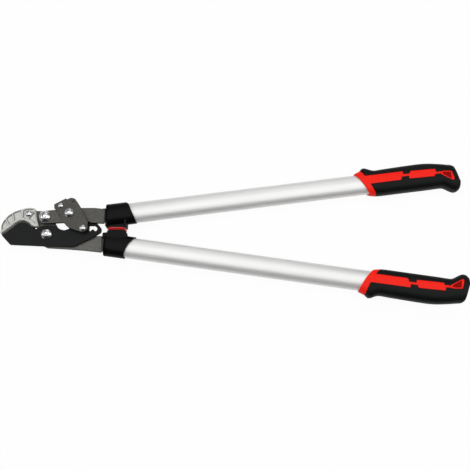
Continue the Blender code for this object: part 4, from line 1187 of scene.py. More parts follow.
@dataclass
class Fasteners:
    """Screws, nuts and washers, as rings turned round their axes."""

    bench: Bench
    nut_height: float = 0.0050
    nut_to_shank: float = 1.85
    washer_radius: float = 0.0100
    washer_thickness: float = 0.0015
    socket_depth: float = 0.0024
    dome_start: float = 0.34
    columns: int = 72

    def screw(self, spot: Spot, size: Screw, seat: float, end: float) -> None:
        """A button head screw: a spherical dome over a short rim, with a hexagon sunk in its middle,
        whose walls are marked for a painted shade.

        Args:
            spot: Its name, node, body and place.
            size: Its sizes.
            seat: Height of the face under its head.
            end: Height of its shank's end.
        """
        head, shank, socket = size.head, size.shank, size.socket
        top, start = seat + size.height, seat + self.dome_start * size.height
        floor = top - min(self.socket_depth, 0.7 * size.height)
        flat, bevel, chamfer = 1.18 * socket, 0.0002, 0.10 * shank
        centre = (flat**2 + top**2 - head**2 - start**2) / (2 * (top - start))
        heights = top - (top - start) * np.linspace(0, 1, 12) ** 1.3
        ball = math.hypot(head, start - centre)
        dome = np.stack([np.sqrt(ball**2 - (heights - centre) ** 2), heights], -1)
        profile = np.vstack([
            [[0.0, floor - 0.35 * socket], [0.72 * socket, floor], [socket, floor]],
            [[socket, top - 0.12 * socket], [socket * 1.08, top]],
            dome,
            [[head, seat + bevel], [head - bevel, seat], [shank, seat]],
            [[shank, end + chamfer], [shank - chamfer, end], [0.0, end]],
        ])
        sides = np.zeros(len(profile))
        sides[1:5] = [0.6, 1.0, 1.0, 0.75]
        piece = shell(spot.name, revolved(profile, sides, self.columns) + [*spot.at, 0.0], sharp=32)
        # painted shade: the wall mark darkens the socket's walls
        points = points_of(piece) - [*spot.at, floor]
        from_axis = np.hypot(points[:, 0], points[:, 1]) / socket
        sunk = (from_axis > 0.8) & (from_axis < 1.04) & (points[:, 2] > -socket)
        stamp(piece, "wall", sunk.astype(float))
        self.bench.fit(piece, spot.body, Look.SCREW, spot.node)

    def ring(self, spot: Spot, half: list[Point], total: float, sharp: float, last: float) -> None:
        """A nut or a washer: a half profile and its mirror image turned round the axis.

        Args:
            spot: Its name, node, body and place.
            half: Rows of (radius, height), from the front face's bore to the outer edge.
            total: Heights of both faces added up.
            sharp: The angle in degrees above which an edge stays sharp.
            last: 1 if the last row is a hexagon, and 0 if it is a circle.
        """
        sides = [*[0.0] * (len(half) - 1), last]
        both = np.array([*sides, *sides[::-1]])
        grid = revolved(mirrored(np.array(half), total), both, self.columns) + [*spot.at, 0.0]
        self.bench.fit(shell(spot.name, grid, True, sharp), spot.body, Look.ZINC, spot.node)

    def nut(self, spot: Spot, size: Screw, front: float) -> None:
        """A hexagon nut whose corners are cut back by a cone at both faces.

        Args:
            spot: Its name, node, body and place.
            size: The sizes of its screw.
            front: Height of its front face.
        """
        corner, bore, bevel = self.nut_to_shank * size.shank, size.shank + 0.0001, 0.0004
        flat = corner * math.cos(math.pi / 6)
        cut = (corner - flat) * math.tan(math.radians(30))
        half = [(bore, front - bevel), (bore + bevel, front), (flat * 0.97, front), (corner, front - cut)]
        self.ring(spot, half, 2 * front - self.nut_height, 30, 1.0)

    def washer(self, spot: Spot, front: float) -> None:
        """A plain washer of a pivot, with rounded rims.

        Args:
            spot: Its name, node, body and place.
            front: Height of its front face.
        """
        outer, r = self.washer_radius, 0.0003
        half = [
            (PIVOT_SCREW.shank + GAP, front), (outer - r, front), (outer - 0.3 * r, front - 0.3 * r),
            (outer, front - r),
        ]
        self.ring(spot, half, 2 * front - self.washer_thickness, 40, 0.0)

    def peg(self) -> None:
        """The peg under the anvil's heel: a short pin with a rounded end."""
        top, turn = STACK.blade_front + 0.0006, quarter_turn(6)
        dome = np.stack([PEG_RADIUS * np.sin(turn), top - 0.0005 * (1 - np.cos(turn))], -1)
        profile = np.vstack([dome, [[PEG_RADIUS, 0.0], [0.0, 0.0]]])
        piece = shell("stop_peg", revolved(profile, np.zeros(len(profile)), 36) + [*STOP_PEG, 0.0])
        self.bench.fit(piece, Body.ANVIL_HANDLE, Look.SCREW, "blade_stop_pin")

    def build(self) -> None:
        """Every screw, nut and washer of the head."""
        home, nut_front = Body.ANVIL_HANDLE, -self.washer_thickness - 2 * GAP
        for name, at, seat in (
            ("blade_pivot", BLADE_PIVOT, STACK.blade_front),
            ("lever_pivot", LEVER_PIVOT, STACK.lever_front),
        ):
            bolt, washer, nut = (
                Spot(f"{name}_{made}", f"{name}_{node}", home, at)
                for made, node in (("screw", "bolt"), ("plain_washer", "washer"), ("hex_nut", "nut"))
            )
            self.screw(bolt, PIVOT_SCREW, seat + GAP, nut_front - self.nut_height)
            self.washer(washer, -GAP)
            self.nut(nut, PIVOT_SCREW, nut_front)
        lever, link = Body.LEVER_HANDLE, Body.LINK
        anvil_seat = 2 * STACK.middle - Anvil.seat_depth + GAP
        front, back = STACK.link_front_face + GAP, STACK.link_back_back - GAP
        for name, nut_name, screw_node, nut_node, body, at, size, seat, nut_seat in (
            ("casting_screw", "casting_nut", "anvil_screw", "anvil_nut", home, ANVIL_SCREW, CASTING_SCREW,
             anvil_seat, -GAP),
            ("link_screw", "link_screw_nut", "link_pivot_bolt", "link_pivot_nut", lever, LINK_PIVOT,
             LINK_SCREW, front, back),
            ("pin_screw", "pin_screw_nut", "ratchet_pin", "ratchet_nut", link, RATCHET_PIN, PIN_SCREW,
             front, back),
            ("post_screw", "post_screw_nut", "stop_screw", "stop_nut", link, STOP_POST, POST_SCREW,
             front, back),
        ):
            self.screw(Spot(name, screw_node, body, at), size, seat, nut_seat - self.nut_height)
            self.nut(Spot(nut_name, nut_node, body, at), size, nut_seat)
        self.peg()


@dataclass
class Anvil:
    """The cast aluminium anvil, a closed loft from its tip to its heel with pockets sunk in its front."""

    bench: Bench
    seat_depth: ClassVar[float] = 0.0014
    pocket_depth: float = 0.0026
    face_border: float = 0.0030
    spine_border: float = 0.0013
    edge: float = 0.0008
    draft: float = 0.0006
    wall_shade_width: float = 0.00040
    length: float = 0.085
    rows: int = 280
    across: int = 84
    face: ClassVar[tuple[Point, ...]] = mm(
        (-70.4, -0.6), (-56.3, 10.5), (-50.1, 16.1), (-44.6, 19.7), (-39.2, 21), (-34.5, 20.6),
        (-28.2, 17.7), (-23.6, 14), (-19.7, 11.3),
    )
    spine: tuple[Point, ...] = mm(
        (-70.8, 2), (-69.7, 13.1), (-66.1, 21.3), (-59.9, 28.7), (-50.5, 34.9), (-37.8, 39.1),
        (-29.8, 40.9), (-20.8, 40.4),
    )
    heel_low: tuple[Point, ...] = mm((-17.3, 11), (-12.4, 11.1))
    heel_high: tuple[Point, ...] = mm((-19.9, 39.6))
    pockets: tuple[Span, ...] = (
        (0.075, 0.130, 0.270, 0.300), (0.303, 0.333, 0.416, 0.495), (0.449, 0.525, 0.655, 0.708),
    )
    screw_pocket: tuple[Corner, ...] = mm(
        (-37.4, 25.4, 0.8), (-29.8, 22, 0.8), (-22.6, 33.2, 1.2), (-22.4, 38.5, 0.8), (-29, 39.3, 0),
        (-37.4, 37.4, 0.8),
    )
    corner_pocket: tuple[Corner, ...] = mm(
        (-28, 23, 0.6), (-22.6, 19.6, 0), (-18, 15.5, 0.8), (-15, 15.6, 0.8), (-18.8, 31, 0),
        (-20.4, 35, 0.6),
    )

    def pocket(self, face_first: float, spine_first: float, face_last: float, spine_last: float) -> Array:
        """A pocket's outline: straight ends between the face and the spine, drawn in by their borders.

        Args:
            face_first: Share of the face's length where it starts.
            spine_first: Share of the spine's length where it starts.
            face_last: Share of the face's length where it ends.
            spine_last: Share of the spine's length where it ends.

        Returns:
            The outline.
        """
        low = along(spline(self.face, 6), np.linspace(face_first, face_last, 12))
        high = along(spline(self.spine, 6), np.linspace(spine_first, spine_last, 12))
        inward = (high - low) / np.linalg.norm(high - low, axis=1)[:, None]
        ends = [low + inward * self.face_border, (high - inward * self.spine_border)[::-1]]
        return counter_clockwise(np.vstack(ends))

    def relief(self, points: Array) -> tuple[Array, Array, Array]:
        """How deep the front is sunk: the depth inside a pocket is reached over the draft, and the
        screw's round seat has its own.

        Args:
            points: Places on the front, as rows of (x, y).

        Returns:
            For each place the depth below the rim, the floor mark and the painted shade's wall mark.
        """
        outlines = [self.pocket(*span) for span in self.pockets]
        outlines += [rounded(list(self.screw_pocket)), rounded(list(self.corner_pocket))]
        within = -np.min([signed_distance(points, outline) for outline in outlines], axis=0)
        seat = CASTING_SCREW.head + 2 * GAP - np.linalg.norm(points - np.array(ANVIL_SCREW), axis=1)
        share, on_seat = smoothstep(within, -0.1 * self.draft, self.draft), smoothstep(seat, -0.0004, 0.0)
        depth = share * self.pocket_depth + on_seat * (self.seat_depth - share * self.pocket_depth)
        # painted shade: a band along the foot of each pocket's walls, none on the screw's seat
        wall = np.exp(-(((within - 0.6 * self.draft) / self.wall_shade_width) ** 2)) * (1 - on_seat)
        return depth, share, wall

    def build(self) -> None:
        """The casting: rings round its section, from the tip to the heel, with rounded edges."""
        low = np.vstack([spline(self.face, 8), self.heel_low])
        high = np.vstack([spline(self.spine, 8), self.heel_high])
        bend = self.edge * (1 - spokes(quarter_turn(5))[:, ::-1])
        front, part_of_length = 2 * STACK.middle, bend[:, 1] / self.length
        shares = np.linspace(self.edge / self.length, 1 - self.edge / self.length, self.rows)
        shares = np.concatenate([part_of_length, shares[1:-1], 1 - part_of_length[::-1]])
        shrink = np.concatenate([bend[:, 0], np.zeros(self.rows - 2), bend[::-1, 0]])
        inner, outer = along(low, shares), along(high, shares)
        up = (outer - inner) / np.linalg.norm(outer - inner, axis=1)[:, None]

        # one ring: across the front from the face to the spine, down, back across, and up again
        spread = np.linspace(0, 1, self.across)
        back = spread[::-4]
        down = np.vstack([bend * [1, -1] + [0, front], bend[:, ::-1]])
        part = np.concatenate([spread, np.ones(10), back, np.zeros(10)])[None, :, None]
        edge = np.full(self.across, self.edge)
        inward = np.concatenate([edge, down[:, 0], edge[: len(back)], down[::-1, 0]])
        inward = inward[None] + shrink[:, None]
        height = np.concatenate([np.full(self.across, front), down[:, 1], 0 * back, down[::-1, 1]])
        near = inner[:, None] + up[:, None] * inward[..., None]
        far = outer[:, None] - up[:, None] * inward[..., None]
        plan = near + (far - near) * part
        z = np.clip(np.broadcast_to(height, plan.shape[:2]), shrink[:, None], front - shrink[:, None])
        sunk = self.relief(plan[:, : self.across].reshape(-1, 2))[0]
        z[:, : self.across] -= sunk.reshape(-1, self.across)
        grid = np.concatenate([plan, z[..., None]], -1)
        poles = [0 * row + row.mean(axis=1, keepdims=True) for row in (grid[:1], grid[-1:])]
        casting = shell("anvil_casting", np.concatenate([poles[0], grid, poles[1]]), sharp=42)
        carve(casting, plate("seat", inset(carrier_outline(), -GAP), [], -0.001, STACK.blade_back, 0.0001))
        points = points_of(casting)
        on_front = points[:, 2] > front - self.pocket_depth - 0.0002
        # the wall mark carries the painted shade along the pocket walls
        for key, mark in zip(("floor", "wall"), self.relief(points[:, :2])[1:]):
            stamp(casting, key, mark * on_front)
        self.bench.fit(casting, Body.ANVIL_HANDLE, Look.ANVIL, "anvil")


@dataclass(frozen=True)
class Handle:
    """Where a handle's axis starts, its slope in degrees, and the side that its outer edge faces."""

    prefix: str
    body: Body
    start: Point
    slope: float
    side: int

    def place(self, points: Array) -> Array:
        """Turns (along, out, up) by the slope and moves it to the axis's start.

        Args:
            points: Points of any grid in the handle's own frame, with out away from the other handle.

        Returns:
            The same points, laid out from the blade's pivot.
        """
        turn = math.radians(self.slope)
        x, y = points[..., 0], self.side * points[..., 1]
        return np.stack(
            [self.start[0] + x * math.cos(turn) - y * math.sin(turn),
             self.start[1] + x * math.sin(turn) + y * math.cos(turn),
             STACK.middle + points[..., 2]], -1
        )

    def at(self, distance: float, out: float) -> Point:
        """The (x, y) at a distance along the axis and out from it towards +Y."""
        x, y, _ = self.place(np.array([distance, self.side * out, 0.0])).tolist()
        return (x, y)


UPPER = Handle("upper", Body.LEVER_HANDLE, (0.0934, 0.0290), UPPER_SLOPE, 1)
LOWER = Handle("lower", Body.ANVIL_HANDLE, (0.0934, -0.0171), LOWER_SLOPE, -1)

TANG_HALF_WIDTH = 0.0112
TANG_LENGTH = 0.0620
COLLAR_FIRST = -0.0040
NECK_LENGTH = 0.0015


def tang(handle: Handle) -> list[Corner]:
    """A plate's tang inside the tube.

    Args:
        handle: The tube's handle.

    Returns:
        Its corners, from the handle's lower side to its upper side.
    """
    half, neck = TANG_HALF_WIDTH, COLLAR_FIRST - NECK_LENGTH
    return [
        (*handle.at(neck, -half), 0.0), (*handle.at(TANG_LENGTH, -half), 0.0030),
        (*handle.at(TANG_LENGTH, half), 0.0030), (*handle.at(neck, half), 0.0),
    ]


CARRIER_RIGHT: tuple[Corner, ...] = mm(
    (-15.5, 38.5, 1), (-9.5, 36.8, 0), (6, 36.2, 6), (11.7, 29, 8), (11.7, 18, 3), (16, 10.5, 3),
    (17, 4, 5), (25, -1, 10), (40, -2.8, 20), (85, -2.4, 0),
)
CARRIER_LEFT: tuple[Corner, ...] = mm(
    (85, -28.4, 0), (58.8, -25.5, 0), (35.4, -23.6, 0), (1.2, -21.5, 5), (-10, -16, 8), (-18.5, -5, 10),
    (-21.5, 7, 4), (-20, 13, 3),
)
CARRIER_ARM: tuple[Corner, ...] = mm(
    (-30, 23.8, 3), (-36, 26.6, 4), (-36, 36.2, 4), (-29, 37.6, 6),
)


def carrier_outline() -> Array:
    """The carrier plate's outline, with its tang and the arm that carries the anvil."""
    return rounded([*CARRIER_RIGHT, *tang(LOWER)[::-1], *CARRIER_LEFT, *CARRIER_ARM])


@dataclass
class Plates:
    """The carrier, the lever, the two link plates and the blade."""

    bench: Bench
    carrier_joggle: Point = (0.0845, 0.0895)
    lever_joggle: Point = (0.0890, 0.0965)
    bush_wall: float = 0.0012
    grind: float = 0.0020
    cut_gap: float = 0.00035
    half_edge: float = 0.0002
    wire_hole: float = 0.0011
    blade_edge: float = 0.0004
    lever_end: float = 0.0112
    notch_pitch: float = 0.0102
    tooth_height: float = 0.0036
    notch_rise: float = 0.0010
    blade_heel: tuple[Corner, ...] = mm(
        (-19, 9.2, 0), (-18.4, 7.6, 1), (-16.8, 6.9, 1), (-15, 7.8, 0.8), (-13.2, 10.4, 1), (-8, 12.8, 6),
        (8, 13.1, 4), (13.6, 13.1, 3), (19.8, 7.8, 6), (27, 5.5, 9), (35, 8.6, 6), (43.4, 13.4, 8),
        (50, 18.7, 6), (76.5, 18.7, 7), (85.2, 8.8, 5), (85, 2.2, 4), (70.4, -7, 0), (54, -15, 0),
        (42.5, -20.7, 12), (-6.4, -19.6, 0), (-55.5, -17.4, 3), (-68.9, -3.4, 1.2),
    )
    lever_top: tuple[Corner, ...] = mm(
        (90, 38.7, 0), (74, 40.6, 20), (54.3, 40.5, 0), (13.3, 37.5, 0),
    )
    lever_bottom: tuple[Corner, ...] = mm(
        (27.9, 16.8, 6), (40, 20.5, 8), (59, 21.5, 8), (70, 16.5, 8), (90, 15.6, 0),
    )
    link: tuple[Corner, ...] = mm(
        (11.2, 45.2, 1.6), (11.8, 38.4, 1.5), (15.8, 35.8, 0), (27.4, 15.5, 3), (36.8, 7.3, 5),
        (47.9, 3.1, 4), (58.6, 0, 7), (65.3, 4.8, 6), (65.3, 18.5, 8), (53, 39.6, 0), (43.3, 54.6, 5),
        (37.1, 56.3, 4), (31, 53.4, 0), (28.8, 54.9, 1),
    )

    def build(self) -> None:
        """Every plate of the head."""
        self.carrier()
        self.lever()
        self.links()
        self.blade()

    def carrier(self) -> None:
        """The plate behind the blade, stepped forward to the tube's middle."""
        holes = [
            circle(BLADE_PIVOT, PIVOT_SCREW.shank + GAP),
            circle(LEVER_PIVOT, PIVOT_SCREW.shank + GAP),
            circle(ANVIL_SCREW, CASTING_SCREW.shank + GAP),
            circle(STOP_PEG, PEG_RADIUS + GAP, 24),
        ]
        piece = plate("carrier", carrier_outline(), holes, 0.0, STACK.carrier)
        bent(piece, *self.carrier_joggle, STACK.middle - STACK.carrier / 2)
        self.bench.fit(piece, Body.ANVIL_HANDLE, Look.CARRIER, "carrier_plate")

    def lever(self) -> None:
        """The lever plate, stepped back to the tube's middle."""
        end = arc(LEVER_PIVOT, self.lever_end, 128, 262)
        outline = rounded([*self.lever_top, *end, *self.lever_bottom, *tang(UPPER)])
        holes = [
            circle(LEVER_PIVOT, PIVOT_SCREW.shank + self.bush_wall + 2 * GAP),
            circle(LINK_PIVOT, LINK_SCREW.shank + GAP),
            circle(SPRING_FOOT, self.wire_hole, 20),
        ]
        piece = plate("lever", outline, holes, STACK.lever_back, STACK.lever_front)
        bent(piece, *self.lever_joggle, STACK.middle - (STACK.lever_back + STACK.lever_front) / 2)
        self.bench.fit(piece, Body.LEVER_HANDLE, Look.LEVER, "lever_plate")

    def links(self) -> None:
        """The two equal plates of the ratchet link."""
        holes = [
            circle(LINK_PIVOT, LINK_SCREW.shank + GAP),
            circle(RATCHET_PIN, PIN_SCREW.shank + GAP),
            circle(STOP_POST, POST_SCREW.shank + GAP, 32),
            circle(SPRING_HOLE, self.wire_hole, 24),
        ]
        for name, node, back in (
            ("front_link", "link_front", STACK.link_front_back),
            ("back_link", "link_back", STACK.link_back_back),
        ):
            piece = plate(name, rounded(list(self.link)), holes, back, back + STACK.link)
            self.bench.fit(piece, Body.LINK, Look.LINK, node)

    def slot(self) -> Array:
        """The ratchet slot: a plain upper side and three notches between two teeth below.

        Returns:
            Its outline.
        """
        x, y = RATCHET_PIN
        reach = PIN_SCREW.shank + GAP
        floor, left = y - reach - GAP / 2, x - reach - 0.0015
        top, right = y + reach + 0.0026, x + 1.87 * self.notch_pitch + reach
        crest, raised = floor + self.tooth_height, floor + self.notch_rise
        corners: list[Corner] = [(left, floor, 0.0034)]
        for step, low in ((0.5, floor), (1.37, raised)):
            middle = x + step * self.notch_pitch
            corners += [
                (middle - 0.0035, low, 0.0012), (middle - 0.0006, crest, 0.0012),
                (middle + 0.0008, crest, 0.0012), (middle + 0.0036, raised, 0.0012),
            ]
        corners += [
            (right - 0.0030, raised, 0.0020), (right - 0.0014, raised + 0.0022, 0.0020),
            (right - 0.0014, top - 0.0036, 0.0020), (right - 0.0048, top, 0.0030), (left, top, 0.0034),
        ]
        return rounded(corners)

    def blade(self) -> None:
        """The blade, ground from both faces to a fine edge along the anvil."""
        face = spline(Anvil.face, 8)
        step = np.gradient(face, axis=0)
        step /= np.linalg.norm(step, axis=1)[:, None]
        edge = face + self.cut_gap * np.stack([step[:, 1], -step[:, 0]], -1)
        tip: Corner = (float(edge[0, 0]), float(edge[0, 1]), 0.0)
        outline = np.vstack([edge, rounded([*self.blade_heel, tip])[:-1]])
        length = run(edge)
        fade = smoothstep(length, -0.0003, 0.0015) * smoothstep(length[-1] - length, 0.0, 0.0040)
        on_edge = np.append(fade, np.zeros(len(outline) - len(edge)))
        back, front = STACK.blade_back, STACK.blade_front
        rows = len(edge_profile(back, front, self.blade_edge)) // 2
        share = np.linspace(1, 0, rows - 1)
        slope = STACK.middle - self.half_edge - back
        lower = np.stack([self.grind * share, back + slope * (1 - share)], -1)
        lower = np.vstack([[[self.grind + 0.0002, back]], lower])
        holes = [circle(BLADE_PIVOT, PIVOT_SCREW.shank + self.bush_wall + 2 * GAP), self.slot()]
        piece = plate(
            "coated_blade", outline[::-1], holes, back, front, self.blade_edge,
            ground=mirrored(lower, back + front), share=on_edge[::-1],
        )
        self.bench.fit(piece, Body.BLADE, Look.BLADE, "blade")


@dataclass
class Tube:
    """An oval aluminium tube: the ellipse of its section along the handle, inside and out."""

    bench: Bench
    handle: Handle
    half_depth: float = 0.0164
    half_thickness: float = 0.0110
    wall: float = 0.0016
    first: float = 0.0045
    last: float = 0.5120
    steps: int = 36
    columns: int = 112

    def build(self) -> None:
        """The tube as one closed skin with its bore."""
        steps = np.linspace(self.first, self.last, self.steps)
        distance = np.append(steps, steps[::-1])[:, None]
        shrink = np.repeat([0.0, self.wall], self.steps)[:, None]
        half = np.array([self.half_depth, self.half_thickness]) - shrink
        ring = half[:, None] * spokes(full_turn(self.columns))
        grid = np.concatenate([np.broadcast_to(distance[..., None], (*ring.shape[:2], 1)), ring], -1)
        prefix = self.handle.prefix
        piece = shell(f"{prefix}_drawn_tube", self.handle.place(grid), wrap_rows=True)
        self.bench.fit(piece, self.handle.body, Look[f"{prefix.upper()}_TUBE"], f"{prefix}_tube")


def signed_power(value: Array, power: Array | float) -> Array:
    """A value's size raised to a power, with its sign kept."""
    return np.sign(value) * np.abs(value) ** power


def squircle(
    turn: Array, low: Array, high: Array, half: Array, power: Array | float
) -> tuple[Array, Array]:
    """A rounded section: its middle plus its half sizes times cosine and sine, each raised to 2 over
    the power with its sign kept.

    Args:
        turn: Angles, as a row or a grid.
        low: Lowest edge of each row's section.
        high: Highest edge.
        half: Half thickness.
        power: 2 for an ellipse, and more for squarer corners.

    Returns:
        The out and up values.
    """
    out = (low + high) / 2 + (high - low) / 2 * signed_power(np.cos(turn), 2 / power)
    return out, half * signed_power(np.sin(turn), 2 / power)


@dataclass
class Collar:
    """The black shroud where a plate's tang enters the tube.

    It runs along the handle from first, leaning by the skew, to its mouth, which goes from last_outer
    to last_inner by the power of the sweep; the hook carries the mouth's outer corner on. The wall
    lies over the tube's edges and side_wall over its flat sides, and the outer edge swells by the
    rise. The block and the pad are deep on either side of the middle.
    """

    bench: Bench
    handle: Handle
    first: float
    skew: float
    wall: float
    last_outer: float
    last_inner: float
    sweep: float
    hook: float
    rise: float
    side_wall: float = 0.0026
    edge: float = 0.0046
    deep: float = 0.0112
    columns: int = 120

    def skin(self) -> Piece:
        """The shroud: rings from the closed front end along the outside, round the slanted mouth and
        back along the bore. The front end leans by the skew, and the mouth runs from its outer to its
        inner end as the share of the way raised to the sweep.

        Returns:
            The piece, before it is joined with what stands on it.
        """
        turn, bend = full_turn(self.columns)[None], quarter_turn(6)
        depth, thick = Tube.half_depth + self.wall, Tube.half_thickness + self.side_wall
        inside, straight = self.wall - 0.0002, 22
        shares = [np.zeros(7), np.linspace(0.02, 0.97, straight), np.ones(5), [0.5, 0.2, 0.2]]
        nudge = [
            [0.0], self.edge * (1 - np.cos(bend)), np.zeros(straight), -0.0006 * (1 - np.sin(bend[::-2])),
            [-0.0001] * 2, np.zeros(3),
        ]
        shrink = [
            [depth], self.edge * (1 - np.sin(bend)), np.zeros(straight),
            np.minimum([0.0, 0.0002, 0.0006, 0.0010, inside], inside), [inside] * 2, [depth],
        ]
        shares, nudge, shrink = (np.concatenate(rows)[:, None] for rows in (shares, nudge, shrink))
        inner = np.append(np.zeros(len(shares) - 4), [0.9, 1.0, 1.0, 1.0])[:, None]
        half_out = np.maximum(depth - shrink, 1e-6)
        half_up = np.maximum(thick - shrink - inner * (self.side_wall - self.wall), 1e-6)
        out, up = squircle(turn, -half_out, half_out, half_up, 2.2 - 0.2 * inner)
        out = out + self.rise * (1 - inner) * np.clip(out / depth, 0, 1)
        reach = np.clip((depth - out) / (2 * depth), 0, 1)
        last = self.last_outer + (self.last_inner - self.last_outer) * reach**self.sweep
        last = last + self.hook * (1 - smoothstep(reach, 0.0, 0.12))
        first = self.first + self.skew * out / depth
        grid = np.stack([first + (last - first) * shares + nudge, out, up], -1)
        return shell(f"{self.handle.prefix}_skin", self.handle.place(grid), sharp=40)

    def slab(self, name: str, corners: list[Corner], less: float = 0.0, radius: float = 0.0006) -> Piece:
        """A thick plate about the middle plane.

        Args:
            name: The piece's name.
            corners: Its corners with their radii.
            less: How much less deep than the block it is, on each side.
            radius: Radius of its edges.

        Returns:
            The piece.
        """
        deep = self.deep - less
        return plate(name, rounded(corners), [], STACK.middle - deep, STACK.middle + deep, radius)

    def block(self) -> list[Piece]:
        """The block that holds the bumper, with a rib at each end.

        Returns:
            The three pieces.
        """
        rib = 0.0034
        left, right, low = Bumper.middle - 0.0178, Bumper.middle + 0.0148, Bumper.top + GAP
        high, lean = Bumper.top + 0.0130, (right - left) * math.tan(math.radians(self.handle.slope))
        core = [(left, low, 0.001), (right, low, 0.001), (right, high + lean, 0.0), (left, high, 0.0)]
        ribs = [
            [(first, low, 0.0010), (first + rib, low, 0.0010), (first + rib, top, 0.0), (first, top, 0.0)]
            for first, top in ((left, high), (right - rib, high + lean))
        ]
        return [self.slab("block", core, 0.0060, 0.0005), *[self.slab("rib", corners) for corners in ribs]]

    def pad(self) -> list[Piece]:
        """The pad that the bumper meets.

        Returns:
            The piece, in a list.
        """
        high, left, near = Bumper.bottom - GAP, Bumper.middle - 0.0212, Bumper.middle - 0.0144
        right, low = Bumper.middle + 0.0146, high - 0.0030
        return [self.slab("pad", [
            (left, low - 0.0008, 0.0012), (left - 0.0002, low - 0.0060, 0.0), (left, high - 0.0120, 0.0),
            (right + 0.0030, high - 0.0120, 0.0), (right + 0.0030, low - 0.0050, 0.0010),
            (right, low, 0.0020), (right, high, 0.0012), (near, high, 0.0012), (near, low, 0.0008),
        ])]

    def build(self) -> None:
        """The shroud and what stands on it, as one moulding."""
        extra = self.block() if self.handle.side > 0 else self.pad()
        piece = joined(f"{self.handle.prefix}_shroud", [self.skin(), *extra])
        self.bench.fit(piece, self.handle.body, Look.BLACK_PLASTIC, f"{self.handle.prefix}_collar")


@dataclass
class Bumper:
    """The rubber puck between the handles.

    Its radius lies along the handles and its half across the stack. A painted shade darkens it, for
    the shade of the block and the pad, but for a band at lit. Its axis stands at X middle, from the pad
    at Y bottom to the block at Y top.
    """

    bench: Bench
    radius: float = 0.0142
    half: float = 0.0138
    power: float = 4.0
    crown: float = 0.0030
    edge: float = 0.0009
    lit: float = 0.0061
    middle: ClassVar[float] = 0.1100
    top: ClassVar[float] = 0.0096
    bottom: ClassVar[float] = 0.0036

    def build(self) -> None:
        """The puck: rings across Y of a rounded square, whose size bulges by the crown between its two
        ends, more up through the stack than along the handles, and rounds off at its rims."""
        turn, share = quarter_turn(6), np.linspace(-1, 1, 15)
        low, high = self.bottom + self.edge, self.top - self.edge
        side = np.stack([-self.crown * share**2, (low + high) / 2 + share * (high - low) / 2], -1)
        end = np.stack([-self.crown - self.edge * (1 - np.sin(turn)), low - self.edge * np.cos(turn)], -1)
        far = end[::-1] * [1, -1] + [0, low + high]
        profile = np.vstack([[[-1.0, self.bottom]], end, side[1:-1], far, [[-1.0, self.top]]])
        size = np.where(profile[:, :1] < -0.5, 1e-6, 1 + profile[:, :1] / self.radius)
        wide = self.radius * np.where(size < 0.5, size, size**0.3)
        x, z = squircle(full_turn(96)[None], -wide, wide, self.half * size, self.power)
        y = np.broadcast_to(profile[:, 1:], x.shape)
        piece = shell("rubber_bumper", np.stack([self.middle + x, y, STACK.middle + z], -1))
        # painted shade: the wall mark darkens the puck above and below the lit band
        from_lit = np.abs(points_of(piece)[:, 1] - self.lit) / (self.top - self.bottom)
        stamp(piece, "wall", smoothstep(from_lit, 0.12, 0.38))
        self.bench.fit(piece, Body.LEVER_HANDLE, Look.RED_RUBBER, "bumper")


